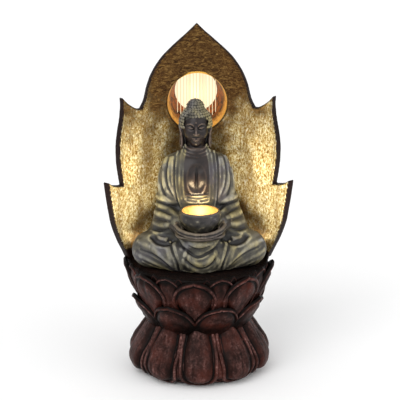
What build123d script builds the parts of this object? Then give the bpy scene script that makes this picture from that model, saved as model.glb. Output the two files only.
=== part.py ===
"""Tabletop water fountain: a robed figure with an alms bowl seated in a lotus basin, with a leaf-shaped
back plate and a lit rain window behind its head.

Millimetres, +Z up, the front towards -Y. The origin is on the ground under the lotus's axis.
"""

from build123d import *
from math import cos, radians, sin, sqrt, tan
import os

# ---- driving dimensions -------------------------------------------------------------------------
HEIGHT = 400.0  # ground to the tip of the back plate

# Lotus pedestal and basin.
PAD_H = 2.5  # foot ring's thickness, which lifts everything else off the ground
PEDESTAL_TOP = 60.0
PEDESTAL_PETALS = 10
BASIN_PETALS = 8
PETAL_TURN = -2.0  # degrees that the petals are turned from the figure's front
RIM_Z = 131.0
BASIN_FLOOR_Z = 68.0
LEDGE_Z = 122.0  # inner ledge that carries the seat plate
LEDGE_R = 71.0
RIM_IN_R = 76.0
SEAT_T = 6.0
NOTCH_HALF = 42.0  # rear notch in the seat plate for the hose, the leads and a hand
NOTCH_Y = 46.0
SEAT_Z = LEDGE_Z + SEAT_T  # top of the seat plate, where the figure sits

# Back plate, bent round a vertical axis in front of it.
PLATE_R = 135.0  # radius of its hollow front face
PLATE_T = 10.0
PLATE_Y = 32.0  # front face on the centre line
PLATE_AXIS_Y = PLATE_Y - PLATE_R
BACK_R = PLATE_R + PLATE_T

# Rain window: a tapered duct through the plate, closed by a lit diffuser.
WINDOW_Z = 309.0
WINDOW_R = 34.0
DUCT_BACK_R = 24.5
DUCT_RISE = 4.0  # how much higher the duct's back end is
DUCT_WALL = 2.0
DUCT_Y0 = 31.0
DUCT_Y1 = 73.5
DIFFUSER_T = 2.5
LED_BOARD_T = 1.5

# Rear housing.
HOUSING_R = 51.0  # half width, and the radius of its domed top
HOUSING_BACK_Y = 82.0
HOUSING_PLAN_R = 86.0  # its corners are rounded to stay over the basin
HOUSING_BOTTOM_Z = 136.0
WALL = 3.0
DOOR_Z = (152.0, 232.0)
DOOR_HALF = 25.0
DOOR_T = 2.5
HINGE_R = 2.5
HINGE_PIN_R = 1.0
HINGE_Y = HOUSING_BACK_Y + 1.8
GROMMET_Z = 144.0
CABLE_R = 3.0

# Rain curtain.
LINE_COUNT = 13
LINE_PITCH = 3.67
LINE_R = 0.45
RAIN_Y = 54.0
TRAY_Z = (343.0, 351.0)
TRAY_HALF = 24.0
ANCHOR_Z = (270.0, 274.0)

# Figure and alms bowl.
HEAD_TOP_Z = 321.0
BOWL_Y = -46.0
BOWL_RIM_Z = 203.0
BOWL_H = 25.0
BOWL_R = 22.0
BOWL_FOOT_R = 12.0
BOWL_WALL = 3.0
BOWL_FLOOR_Z = BOWL_RIM_Z - BOWL_H + 4.0
NOZZLE_R = 3.0
HANDS_Y = -33.0  # where the hands' casting meets the sleeves

# Pump, standing on the basin's floor under the rear cut-out, its shaft along X.
PUMP_X = (-7.0, 25.0)
PUMP_Y = 33.0
PUMP_HALF = 12.0
PUMP_Z = (72.0, 98.0)
SHAFT_Z = 84.0
CUP_R = 4.0
VOLUTE_R = 9.0
SHAFT_R = 1.0
RUNNING = 0.05
MAGNET_R = 4.6
COVER_L = 8.0
DIAL_R = 5.5
SPOUT_X = -3.0
SPOUT_TOP_Z = 106.0
HOSE_R = 3.2
HOSE_BORE = 2.2
TEE_Z = 112.0
LEAD_R = 1.2
JUNCTION = ((28, 40), (56, 70), (176, 206))  # sealed block on the housing's right wall

FIXING_ANGLE = 22.5  # degrees round the plate's axis from the centre line
EAR_T = 3.0
LAMP_X = 62.0
LAMP_Y = 7.0
LAMP_R = 6.5


# ---- small tools --------------------------------------------------------------------------------
def box(x, y, z):
    """A box between the given low and high X, Y and Z."""
    size = (x[1] - x[0], y[1] - y[0], z[1] - z[0])
    middle = ((x[0] + x[1]) / 2, (y[0] + y[1]) / 2, (z[0] + z[1]) / 2)
    return Pos(*middle) * Box(*size)


def rod(radius, start, end):
    """A cylinder from one point to another."""
    a, b = Vector(*start), Vector(*end)
    plane = Plane(origin=a, z_dir=b - a)
    return plane * Cylinder(radius, (b - a).length, align=(Align.CENTER, Align.CENTER, Align.MIN))


def pipe(outer, inner, start, end):
    """A hollow cylinder from one point to another."""
    return rod(outer, start, end) - rod(inner, start, end)


def capsule(radius, start, end):
    """A rod with round ends."""
    return rod(radius, start, end) + Pos(*start) * Sphere(radius) + Pos(*end) * Sphere(radius)


def ellipsoid(centre, radii):
    return Pos(*centre) * scale(Sphere(1.0), by=radii)


def turned(points):
    """A solid of revolution about Z from (radius, height) points."""
    outline = Polyline(*[(r, 0, z) for r, z in points], close=True)
    return revolve(make_face(outline), Axis.Z)


def tube(points, outer, inner=0.0):
    """A round tube along straight runs joined by tangent arcs, each as large as its runs allow."""
    path_points = [Vector(*p) for p in points]
    runs = [b - a for a, b in zip(path_points, path_points[1:])]
    radii = []
    for before, after in zip(runs, runs[1:]):
        half_turn = radians(before.get_angle(after)) / 2
        radii.append(0.45 * min(before.length, after.length) / tan(half_turn))
    path = FilletPolyline(*path_points, radius=radii)
    start = Plane(origin=path @ 0, z_dir=path % 0)
    profile = Circle(outer) - Circle(inner) if inner else Circle(outer)
    made = sweep(start * profile, path=path)
    print("tube length", round(path.length, 1), "arc radii", [round(r, 1) for r in radii])
    return made


def mirrored(shape):
    """The same shape on the other side of the centre plane."""
    return mirror(shape, about=Plane.YZ)


def group(shapes):
    """Several separate solids as one node."""
    return Compound(children=[s for shape in shapes for s in shape.solids()])


# ---- lotus --------------------------------------------------------------------------------------
def lobed(z, radius, depth, petals, phase):
    """A closed curve round the axis with one soft lobe for each petal."""
    steps = 6 * petals
    points = []
    for i in range(steps):
        angle = radians(360 * i / steps)
        lobe = radius * (1 + depth * cos(petals * (angle - radians(phase))))
        points.append((lobe * cos(angle), lobe * sin(angle), z))
    return Face(Wire(Edge.make_spline([Vector(*p) for p in points], periodic=True)))


def lotus_tier(profile, petals, phase):
    """A tier of petals from (height, radius, lobe depth) sections."""
    return loft([lobed(z, r, d, petals, phase) for z, r, d in profile])


def petal_row(count, phase, radius, z, radii, lean):
    """Bulging petals round the axis, each leaning out by some degrees."""
    petal = Rot(0, lean, 0) * scale(Sphere(1.0), by=radii)
    return [Rot(0, 0, phase + 360 * i / count) * Pos(radius, 0, z) * petal for i in range(count)]


def pedestal_shell():
    phase = -90 + PETAL_TURN
    outside = lotus_tier(
        [(PAD_H, 67.5, 0.03), (8, 73, 0.03), (16, 76, 0.03), (30, 71, 0.03), (46, 61, 0.02), (PEDESTAL_TOP, 55.5, 0.01)],
        PEDESTAL_PETALS,
        phase,
    )
    for petal in petal_row(PEDESTAL_PETALS, phase, 68, 34.5, (9, 21, 26), -25):
        outside += petal
    hollow = turned([(0, 0), (62.5, 0), (62.5, 8), (70, 16), (67, 30), (57, 46), (50, 54), (0, 54)])
    made = outside - hollow
    for x, y in basin_screw_places():
        made -= rod(1.9, (x, y, 50), (x, y, 64))
    return made


def basin_screw_places():
    return [(34 * cos(radians(a)), 34 * sin(radians(a))) for a in (45, 135, 225, 315)]


def basin_screws():
    made = []
    for x, y in basin_screw_places():
        head = rod(3.4, (x, y, 52), (x, y, 54))
        shank = rod(1.8, (x, y, 54), (x, y, 65))
        made.append(head + shank)
    return group(made)


def lotus_basin():
    phase = -90 + PETAL_TURN
    lower = lotus_tier(
        [(PEDESTAL_TOP, 54, 0.01), (70, 60, 0.02), (84, 67.5, 0.03), (92, 70.5, 0.03)],
        BASIN_PETALS,
        phase + 180 / BASIN_PETALS,
    )
    upper = lotus_tier(
        [(PEDESTAL_TOP + 1, 52, 0.01), (76, 61, 0.01), (96, 71, 0.02), (115, 78, 0.03), (RIM_Z, 83.5, 0.035)],
        BASIN_PETALS,
        phase,
    )
    for petal in petal_row(BASIN_PETALS, phase, 74.5, 107, (6, 27, 24), 17):
        upper += petal
    for petal in petal_row(BASIN_PETALS, phase + 180 / BASIN_PETALS, 66.5, 79.5, (7, 23, 18), 30):
        lower += petal
    inside = turned(
        [(0, BASIN_FLOOR_Z), (50, BASIN_FLOOR_Z), (58, 78), (67.5, 105), (LEDGE_R, LEDGE_Z)]
        + [(RIM_IN_R, LEDGE_Z), (77, RIM_Z + 1), (0, RIM_Z + 1)]
    )
    made = lower + upper - inside
    for x, y in basin_screw_places():
        made -= rod(1.8, (x, y, PEDESTAL_TOP - 1), (x, y, 65))
    return made


def foot_ring():
    return pipe(61, 51, (0, 0, 0), (0, 0, PAD_H))


def base_plate():
    made = rod(62, (0, 0, PAD_H), (0, 0, PAD_H + 3))
    for x, y in vent_places():
        made -= rod(4, (x, y, 0), (x, y, 8))
    return made


def vent_places():
    return [(28 * cos(radians(a)), 28 * sin(radians(a))) for a in range(0, 360, 60)]


def seat_plate():
    made = rod(RIM_IN_R - 0.3, (0, 0, LEDGE_Z), (0, 0, SEAT_Z))
    made -= box((-NOTCH_HALF, NOTCH_HALF), (NOTCH_Y, 80), (LEDGE_Z - 1, SEAT_Z + 1))
    made -= rod(7, (0, -8, LEDGE_Z - 1), (0, -8, SEAT_Z + 1))
    for angle in range(195, 346, 15):
        x, y = 71 * cos(radians(angle)), 71 * sin(radians(angle))
        made -= rod(2.2, (x, y, LEDGE_Z - 1), (x, y, SEAT_Z + 1))
    for side in (-1, 1):
        made -= rod(LEAD_R + 0.4, (side * LAMP_X, LAMP_Y, LEDGE_Z - 1), (side * LAMP_X, LAMP_Y, SEAT_Z + 1))
    for place in bracket_foot_places():
        made -= rod(1.5, (*place, LEDGE_Z + 1), (*place, SEAT_Z + 1))
    return made


# ---- back plate ---------------------------------------------------------------------------------
def on_plate(radius, angle):
    """X and Y of a point at a radius from the plate's axis, at an angle from the centre line."""
    return (radius * sin(radians(angle)), PLATE_AXIS_Y + radius * cos(radians(angle)))


def half_outline():
    """Right half of the leaf's outline, as curves in the XZ plane, from the tip to the foot."""
    arch = Spline((0, 0, HEIGHT), (14.5, 0, 386), (37.8, 0, 364), (51.7, 0, 342), (59.5, 0, 314), (63.5, 0, 304.5))
    first_spike = Spline((63.5, 0, 304.5), (73, 0, 309), (84.8, 0, 321.5))
    side = Spline((84.8, 0, 321.5), (85.3, 0, 297), (89, 0, 262), (85.5, 0, 218.5))
    second_spike = Spline((85.5, 0, 218.5), (93, 0, 220.5), (101.7, 0, 226.8))
    flank = Spline((101.7, 0, 226.8), (98, 0, 191), (89.5, 0, 155), (79, 0, SEAT_Z))
    return [arch, first_spike, side, second_spike, flank]


def mandorla():
    right = half_outline()
    left = [mirror(edge, about=Plane.YZ) for edge in right]
    foot = Line((79, 0, SEAT_Z), (-79, 0, SEAT_Z))
    outline = make_face(right + left + [foot])
    front = rod(PLATE_R, (0, PLATE_AXIS_Y, 100), (0, PLATE_AXIS_Y, 420))
    side_face = front.faces().filter_by(GeomType.CYLINDER)[0]
    flat = Pos(0, PLATE_AXIS_Y, 0) * outline
    leaf = flat.face().project_to_shape(side_face, (0, 1, 0))[0]
    plate = Solid.thicken(leaf, PLATE_T)
    plate -= rod(WINDOW_R + DUCT_WALL, (0, 0, WINDOW_Z), (0, 60, WINDOW_Z))
    rim_space = rod(120, (0, 0, 120), (0, 0, RIM_Z + 1)) - rod(RIM_IN_R - 0.5, (0, 0, 110), (0, 0, 140))
    plate -= rim_space
    for angle in (-FIXING_ANGLE, FIXING_ANGLE):
        plate -= rod(1.5, (*on_plate(BACK_R - 6, angle), 141), (*on_plate(BACK_R + 1, angle), 141))
    for angle, z in housing_screw_places():
        plate -= rod(1.5, (*on_plate(BACK_R - 6, angle), z), (*on_plate(BACK_R + 1, angle), z))
    return plate


def bracket_foot_places():
    return [on_plate(BACK_R + 5.6, angle) for angle in (-FIXING_ANGLE, FIXING_ANGLE)]


def mandorla_brackets():
    """Two bent steel angles that hold the back plate upright on the seat plate."""
    made = []
    for angle in (-FIXING_ANGLE, FIXING_ANGLE):
        shape = box((-4.6, 4.6), (BACK_R, BACK_R + 1.6), (SEAT_Z, SEAT_Z + 18))
        shape += box((-4.6, 4.6), (BACK_R, BACK_R + 9), (SEAT_Z, SEAT_Z + 1.6))
        shape -= rod(1.6, (0, BACK_R - 1, 141), (0, BACK_R + 4, 141))
        shape -= rod(1.6, (0, BACK_R + 5.6, SEAT_Z - 1), (0, BACK_R + 5.6, SEAT_Z + 4))
        made.append(Pos(0, PLATE_AXIS_Y, 0) * Rot(0, 0, -angle) * shape)
    return group(made)


def screw(start, direction, length, radius=1.5, head_r=2.6, head_h=1.6):
    """A pan-head screw whose head's underside is at start."""
    a, d = Vector(*start), Vector(*direction).normalized()
    return rod(radius, a, a + d * length) + rod(head_r, a - d * head_h, a)


def bracket_screws():
    made = []
    for angle, (x, y) in zip((-FIXING_ANGLE, FIXING_ANGLE), bracket_foot_places()):
        made.append(screw((x, y, SEAT_Z + 1.6), (0, 0, -1), 6))
        made.append(screw((*on_plate(BACK_R + 1.6, angle), 141), inward(angle), 7.6))
    return group(made)


def inward(angle):
    """Direction towards the plate's axis at an angle from the centre line."""
    return (-sin(radians(angle)), -cos(radians(angle)), 0)


# ---- rear housing -------------------------------------------------------------------------------
def u_shape(radius, y0, y1, bottom):
    """A slab with a domed top round the window's axis, from y0 to y1."""
    return rod(radius, (0, y0, WINDOW_Z), (0, y1, WINDOW_Z)) + box((-radius, radius), (y0, y1), (bottom, WINDOW_Z))


def housing_screw_places():
    """(angle, height) of the four screws that hold the housing to the back plate."""
    return [(angle, z) for angle in (-FIXING_ANGLE, FIXING_ANGLE) for z in (170, 270)]


def rear_housing():
    outer = u_shape(HOUSING_R, 20, HOUSING_BACK_Y, HOUSING_BOTTOM_Z)
    outer &= rod(HOUSING_PLAN_R, (0, 0, 100), (0, 0, 400))
    inner = u_shape(HOUSING_R - WALL, 10, HOUSING_BACK_Y - WALL, HOUSING_BOTTOM_Z - 5)
    inner &= rod(HOUSING_PLAN_R - WALL, (0, 0, 100), (0, 0, 400))
    made = outer - inner - rod(BACK_R, (0, PLATE_AXIS_Y, 100), (0, PLATE_AXIS_Y, 400))
    low, high = DOOR_Z
    made -= box((-DOOR_HALF, DOOR_HALF), (HOUSING_BACK_Y - 10, HOUSING_BACK_Y + 1), (low, high))
    made -= rod(CABLE_R + 1.5, (0, 70, GROMMET_Z), (0, 90, GROMMET_Z))
    for z in ((low + 1, low + 15), (high - 15, high - 1)):
        leaf = box((-DOOR_HALF - 7, -DOOR_HALF - 1.5), (HOUSING_BACK_Y - 1, HINGE_Y), z)
        barrel = rod(HINGE_R, (-DOOR_HALF - 1.5, HINGE_Y, z[0]), (-DOOR_HALF - 1.5, HINGE_Y, z[1]))
        made += leaf + barrel
    made -= rod(HINGE_PIN_R, (-DOOR_HALF - 1.5, HINGE_Y, low), (-DOOR_HALF - 1.5, HINGE_Y, high))
    made -= door_swing_space()
    ring = pipe(BACK_R + EAR_T, BACK_R, (0, PLATE_AXIS_Y, 150), (0, PLATE_AXIS_Y, 290))
    for angle, z in housing_screw_places():
        side = 1 if angle > 0 else -1
        ear = box(sorted((side * (HOUSING_R - 1), side * (HOUSING_R + 11))), (0, 60), (z - 6, z + 6)) & ring
        made += ear
        made -= rod(1.6, (*on_plate(BACK_R - 1, angle), z), (*on_plate(BACK_R + 12, angle), z))
    return made


def door_swing_space():
    """Room that the door's own knuckle takes from the housing's edge."""
    low, high = DOOR_Z
    x = -DOOR_HALF - 1.5
    return rod(HINGE_R + 0.4, (x, HINGE_Y, low + 15.3), (x, HINGE_Y, high - 15.3))


def housing_screws():
    made = []
    for angle, z in housing_screw_places():
        made.append(screw((*on_plate(BACK_R + EAR_T, angle), z), inward(angle), 9))
    return group(made)


def rear_door():
    low, high = DOOR_Z
    gap = 0.4
    panel_y = (HOUSING_BACK_Y - DOOR_T, HOUSING_BACK_Y)
    panel = box((-DOOR_HALF + gap, DOOR_HALF - gap), panel_y, (low + gap, high - gap))
    x = -DOOR_HALF - 1.5
    knuckle_z = (low + 15.5, high - 15.5)
    barrel = rod(HINGE_R, (x, HINGE_Y, knuckle_z[0]), (x, HINGE_Y, knuckle_z[1]))
    arm = box((x, -DOOR_HALF + 6), (HINGE_Y - 1.6, HINGE_Y + 0.6), knuckle_z)
    arm += box((-DOOR_HALF + gap, -DOOR_HALF + 6), (HOUSING_BACK_Y - 1, HINGE_Y), knuckle_z)
    tab = box((DOOR_HALF - 9, DOOR_HALF - 5), (HOUSING_BACK_Y - 1, HOUSING_BACK_Y + 4), (182, 202))
    made = panel + arm + barrel + tab
    for z in range(206, 227, 5):
        made -= box((-14, 14), (HOUSING_BACK_Y - 5, HOUSING_BACK_Y + 3), (z, z + 1.6))
    return made - rod(HINGE_PIN_R + RUNNING, (x, HINGE_Y, low), (x, HINGE_Y, high))


def door_hinge_pin():
    low, high = DOOR_Z
    x = -DOOR_HALF - 1.5
    return rod(HINGE_PIN_R, (x, HINGE_Y, low + 1), (x, HINGE_Y, high - 1))


def cable_grommet():
    """Rubber sleeve through the housing's rear wall for the supply lead."""
    y = HOUSING_BACK_Y
    made = rod(CABLE_R + 1.5, (0, y - WALL, GROMMET_Z), (0, y, GROMMET_Z))
    made += rod(CABLE_R + 3.0, (0, y, GROMMET_Z), (0, y + 2.5, GROMMET_Z))
    made += rod(CABLE_R + 3.0, (0, y - WALL - 2, GROMMET_Z), (0, y - WALL, GROMMET_Z))
    return made - rod(CABLE_R, (0, 60, GROMMET_Z), (0, 100, GROMMET_Z))


# ---- rain window --------------------------------------------------------------------------------
def duct_cone(front_r, back_r, y0, y1):
    """A slanting cone between two circles that face along Y."""
    rise = DUCT_RISE / (DUCT_Y1 - DUCT_Y0)
    ends = []
    for radius, y in ((front_r, y0), (back_r, y1)):
        plane = Plane(origin=(0, y, WINDOW_Z + rise * (y - DUCT_Y0)), x_dir=(1, 0, 0), z_dir=(0, 1, 0))
        ends.append(plane * Circle(radius))
    return loft(ends, ruled=True)


def duct_radius(y):
    return WINDOW_R + (DUCT_BACK_R - WINDOW_R) * (y - DUCT_Y0) / (DUCT_Y1 - DUCT_Y0)


def window_duct():
    overrun = 1.0
    slope = (DUCT_BACK_R - WINDOW_R) / (DUCT_Y1 - DUCT_Y0)
    outside = duct_cone(WINDOW_R + DUCT_WALL - 0.1, DUCT_BACK_R + DUCT_WALL, DUCT_Y0, DUCT_Y1)
    outside += rod(DUCT_BACK_R + 5, (0, DUCT_Y1 - 2, WINDOW_Z + DUCT_RISE), (0, DUCT_Y1, WINDOW_Z + DUCT_RISE))
    inside = duct_cone(WINDOW_R - slope * overrun, DUCT_BACK_R + slope * overrun, DUCT_Y0 - overrun, DUCT_Y1 + overrun)
    made = outside - inside
    half = LINE_PITCH * (LINE_COUNT - 1) / 2 + 1.2
    made -= box((-half, half), (RAIN_Y - 1.5, RAIN_Y + 1.5), (WINDOW_Z - 45, WINDOW_Z + 45))
    return made


def window_diffuser():
    z = WINDOW_Z + DUCT_RISE
    return rod(DUCT_BACK_R + 4, (0, DUCT_Y1, z), (0, DUCT_Y1 + DIFFUSER_T, z))


def window_led_board():
    z = WINDOW_Z + DUCT_RISE
    y = DUCT_Y1 + DIFFUSER_T + 1.0
    made = rod(DUCT_BACK_R + 1, (0, y, z), (0, y + LED_BOARD_T, z))
    for i in range(8):
        angle = radians(45 * i)
        x, dz = 15 * cos(angle), 15 * sin(angle)
        made += box((x - 1.5, x + 1.5), (y - 0.8, y), (z + dz - 1.5, z + dz + 1.5))
    return made


def line_places():
    return [LINE_PITCH * (i - (LINE_COUNT - 1) / 2) for i in range(LINE_COUNT)]


def rain_lines():
    """Taut nylon lines that the water runs down."""
    return group([rod(LINE_R, (x, RAIN_Y, ANCHOR_Z[1]), (x, RAIN_Y, TRAY_Z[0] + 2)) for x in line_places()])


def drip_tray():
    """Trough over the window that feeds every line."""
    made = box((-TRAY_HALF, TRAY_HALF), (RAIN_Y - 7, RAIN_Y + 7), TRAY_Z)
    made &= rod(HOUSING_R - WALL - 0.3, (0, 0, WINDOW_Z), (0, 90, WINDOW_Z))
    made -= box((2 - TRAY_HALF, TRAY_HALF - 2), (RAIN_Y - 5, RAIN_Y + 5), (TRAY_Z[0] + 2, TRAY_Z[1] + 5))
    made -= rod(HOSE_BORE, (-TRAY_HALF - 1, RAIN_Y, TRAY_Z[0] + 4.2), (3 - TRAY_HALF, RAIN_Y, TRAY_Z[0] + 4.2))
    for x in line_places():
        made -= rod(LINE_R, (x, RAIN_Y, TRAY_Z[0] - 1), (x, RAIN_Y, TRAY_Z[0] + 2.5))
    return made


def line_anchor_bar():
    made = box((-25, 25), (RAIN_Y - 3, RAIN_Y + 3), ANCHOR_Z)
    for x in (-20, 20):
        made += box((x - 2, x + 2), (RAIN_Y, HOUSING_BACK_Y - WALL), ANCHOR_Z)
    return made


# ---- figure -------------------------------------------------------------------------------------
def oval(z, rx, ry, y=0.0):
    return Pos(0, y, z) * Ellipse(rx, ry)


def bowl_outer():
    """Outer form of the alms bowl, solid."""
    bottom = BOWL_RIM_Z - BOWL_H
    points = [(0, bottom), (BOWL_FOOT_R, bottom), (BOWL_R - 3, bottom + 8), (BOWL_R, bottom + 17)]
    points += [(BOWL_R - 0.5, BOWL_RIM_Z), (0, BOWL_RIM_Z)]
    return Pos(0, BOWL_Y, 0) * turned(points)


def figure_limbs():
    """Crossed legs, arms and hands of one side, the right one."""
    parts = [
        capsule(19, (30, 2, SEAT_Z + 20), (56, -20, SEAT_Z + 22)),
        capsule(16.5, (56, -22, SEAT_Z + 19), (8, -46, SEAT_Z + 15)),
        capsule(10.5, (34, 1, 238), (38, -4, 196)),
        capsule(9.5, (37, -8, 190), (17, -44, 180)),
        capsule(6, (19, -46, 178), (4, -54, 174)),
        capsule(2.6, (17.2, -1, 288), (18, -1, 268)),
        ellipsoid((39, -11, 172), (15, 20, 26)),
        ellipsoid((22, -20, 184), (20, 17, 22)),
        ellipsoid((44, -22, 160), (20, 18, 12)),
    ]
    return parts


def figure_hollow():
    """The casting's inside, open at the bottom."""
    made = loft([oval(SEAT_Z - 1, 41, 24), oval(178, 39, 19.5), oval(220, 37, 15), oval(240, 29, 11)])
    made += rod(37, (0, -16, SEAT_Z - 1), (0, -16, SEAT_Z + 20))
    for leg in (
        capsule(13.5, (30, 2, SEAT_Z + 20), (56, -20, SEAT_Z + 22)),
        capsule(11, (56, -22, SEAT_Z + 19), (12, -44, SEAT_Z + 16)),
    ):
        made += leg
        made += mirrored(leg)
    return made - box((-90, 90), (-90, 60), (0, SEAT_Z - 1))


def whole_figure():
    trunk = loft([oval(SEAT_Z, 47, 30), oval(178, 45, 26), oval(222, 43, 21), oval(247, 36, 18), oval(262, 13, 12)])
    body = trunk + rod(44, (0, -16, SEAT_Z), (0, -16, SEAT_Z + 26))
    for part in figure_limbs():
        body += part
        body += mirrored(part)
    body += rod(9.5, (0, -1, 250), (0, -1, 276))
    body += ellipsoid((0, -4, 287), (14.5, 15.5, 18))
    body += ellipsoid((0, 1, 291), (17.5, 18.5, 17))
    body += ellipsoid((0, -36, 148), (26, 24, 26))
    body += Pos(0, 2, HEAD_TOP_Z - 10) * Sphere(10)
    body -= box((-90, 90), (-90, 60), (SEAT_Z - 40, SEAT_Z))
    body -= bowl_outer()
    body -= figure_hollow()
    body -= box((-7, 7), (BOWL_Y - 7, -8), (SEAT_Z + 18, SEAT_Z + 32))
    body -= rod(7, (0, BOWL_Y, SEAT_Z + 25), (0, BOWL_Y, BOWL_RIM_Z - BOWL_H + 1))
    return body


def hands_space():
    """The forearms and hands are a casting of their own, glued on at the front of the sleeves."""
    return box((-45, 45), (-90, HANDS_Y), (SEAT_Z + 34, 202))


def buddha_figure():
    return whole_figure() - hands_space()


def figure_hands():
    return whole_figure() & hands_space()


def alms_bowl():
    floor = BOWL_FLOOR_Z
    cavity = [(0, floor), (BOWL_FOOT_R, floor), (BOWL_R - 6, floor + 6), (BOWL_R - BOWL_WALL, floor + 13)]
    cavity += [(BOWL_R - BOWL_WALL - 0.5, BOWL_RIM_Z + 1), (0, BOWL_RIM_Z + 1)]
    made = bowl_outer() - Pos(0, BOWL_Y, 0) * turned(cavity)
    made -= rod(NOZZLE_R + 1.2, (0, BOWL_Y, 170), (0, BOWL_Y, 190))
    return made - rod(1.0, (6, BOWL_Y, 170), (6, BOWL_Y, 190))


def bowl_nozzle():
    """Stem through the bowl's floor that the water wells up from."""
    bottom = BOWL_RIM_Z - BOWL_H
    made = rod(NOZZLE_R + 1.2, (0, BOWL_Y, bottom - 6), (0, BOWL_Y, BOWL_FLOOR_Z))
    made += rod(NOZZLE_R, (0, BOWL_Y, BOWL_FLOOR_Z), (0, BOWL_Y, BOWL_FLOOR_Z + 12))
    return made - rod(1.8, (0, BOWL_Y, bottom - 7), (0, BOWL_Y, BOWL_FLOOR_Z + 13))


def bowl_lamp():
    """Ring-shaped sealed lamp round the nozzle."""
    z = BOWL_FLOOR_Z
    return pipe(BOWL_FOOT_R - 1, NOZZLE_R + 0.3, (0, BOWL_Y, z), (0, BOWL_Y, z + 5))


def bowl_lamp_lens():
    z = BOWL_FLOOR_Z + 5
    return pipe(BOWL_FOOT_R - 1.5, NOZZLE_R + 0.3, (0, BOWL_Y, z), (0, BOWL_Y, z + 3.5))


def lamp_place(side):
    """X and Y of an uplight behind the knee."""
    return (side * LAMP_X, LAMP_Y)


def uplight_housing(side):
    x, y = lamp_place(side)
    made = rod(LAMP_R, (x, y, SEAT_Z), (x, y, SEAT_Z + 12))
    made -= rod(LAMP_R - 1.2, (x, y, SEAT_Z + 8), (x, y, SEAT_Z + 13))
    return made - rod(LEAD_R, (x, y, SEAT_Z - 1), (x, y, SEAT_Z + 4))


def uplight_lens(side):
    x, y = lamp_place(side)
    return rod(LAMP_R - 1.2, (x, y, SEAT_Z + 8), (x, y, SEAT_Z + 11.4))


# ---- pump ---------------------------------------------------------------------------------------
def along_x(radius, x0, x1):
    """A cylinder on the impeller's axis."""
    return rod(radius, (x0, PUMP_Y, SHAFT_Z), (x1, PUMP_Y, SHAFT_Z))


def pump_body():
    x0, x1 = PUMP_X
    made = box((x0, x1), (PUMP_Y - PUMP_HALF, PUMP_Y + PUMP_HALF), PUMP_Z)
    made += rod(NOZZLE_R + 1.2, (SPOUT_X, PUMP_Y, PUMP_Z[1]), (SPOUT_X, PUMP_Y, SPOUT_TOP_Z))
    made -= along_x(VOLUTE_R, x0 - 1, x0 + 7)
    made -= along_x(MAGNET_R + 0.5, x0 + 6, x1 - 5)
    made -= along_x(SHAFT_R, x1 - 6, x1 - 3)
    return made - rod(1.8, (SPOUT_X, PUMP_Y, SHAFT_Z), (SPOUT_X, PUMP_Y, SPOUT_TOP_Z + 1))


def suction_cup_places():
    return [(x, PUMP_Y + dy) for x in (PUMP_X[0] + 5, PUMP_X[1] - 5) for dy in (-7, 7)]


def suction_cups():
    made = []
    for x, y in suction_cup_places():
        made.append(rod(CUP_R, (x, y, BASIN_FLOOR_Z), (x, y, BASIN_FLOOR_Z + 1.5)) + rod(2, (x, y, BASIN_FLOOR_Z), (x, y, PUMP_Z[0])))
    return group(made)


def impeller():
    x0 = PUMP_X[0]
    made = along_x(3.0, x0 + 1, x0 + 6)
    blade = box((x0 + 1.2, x0 + 5.8), (PUMP_Y - 0.6, PUMP_Y + 0.6), (SHAFT_Z + 2, SHAFT_Z + VOLUTE_R - 1.2))
    centre = Axis((0, PUMP_Y, SHAFT_Z), (1, 0, 0))
    for i in range(6):
        made += blade.rotate(centre, 60 * i)
    return made - along_x(SHAFT_R + RUNNING, x0, x0 + 7)


def impeller_magnet():
    x0, x1 = PUMP_X
    return along_x(MAGNET_R, x0 + 6, x1 - 7) - along_x(SHAFT_R + RUNNING, x0, x1)


def impeller_shaft():
    x0, x1 = PUMP_X
    return along_x(SHAFT_R, x0 - 2, x1 - 3)


def pump_cover():
    """Snap-on intake cover with slots, which pulls off along the shaft."""
    x0 = PUMP_X[0]
    made = box((x0 - COVER_L, x0), (PUMP_Y - PUMP_HALF, PUMP_Y + PUMP_HALF), PUMP_Z)
    made -= box((x0 - COVER_L + 2, x0 + 1), (PUMP_Y - 10, PUMP_Y + 10), (PUMP_Z[0] + 2, PUMP_Z[1] - 2))
    made += along_x(3, x0 - COVER_L + 1, x0 - 0.3)
    made -= along_x(SHAFT_R + RUNNING, x0 - 2.2, x0 + 1)
    for i in range(5):
        z = PUMP_Z[0] + 3.5 + 4.4 * i
        for y in (PUMP_Y - 9, PUMP_Y + 7):
            made -= box((x0 - COVER_L - 1, x0 - COVER_L + 3), (y, y + 2), (z, z + 2.4))
    return made - along_x(1.5, x0 - COVER_L - 1, x0 - COVER_L + 1)


def flow_dial():
    """Turning disc on the cover that throttles the intake."""
    x = PUMP_X[0] - COVER_L
    made = along_x(DIAL_R, x - 2.4, x - 0.1) + along_x(1.45, x - 0.1, x + 0.9)
    made += box((x - 4.4, x - 2.4), (PUMP_Y - 0.9, PUMP_Y + 0.9), (SHAFT_Z - 4, SHAFT_Z + 4))
    return made


# ---- hoses and leads ----------------------------------------------------------------------------
def tee_fitting():
    """Splits the pump's flow between the bowl and the rain window."""
    outer = 6.0
    stem = rod(outer, (SPOUT_X, PUMP_Y, PUMP_Z[1] + 1), (SPOUT_X, PUMP_Y, TEE_Z))
    run = rod(5.2, (SPOUT_X, PUMP_Y - 9, TEE_Z), (SPOUT_X, PUMP_Y + 9, TEE_Z))
    made = stem + run
    made -= rod(NOZZLE_R + 1.2, (SPOUT_X, PUMP_Y, PUMP_Z[1]), (SPOUT_X, PUMP_Y, SPOUT_TOP_Z))
    made -= rod(1.8, (SPOUT_X, PUMP_Y, SPOUT_TOP_Z - 1), (SPOUT_X, PUMP_Y, TEE_Z))
    return made - rod(HOSE_BORE, (SPOUT_X, PUMP_Y - 12, TEE_Z), (SPOUT_X, PUMP_Y + 12, TEE_Z))


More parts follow.
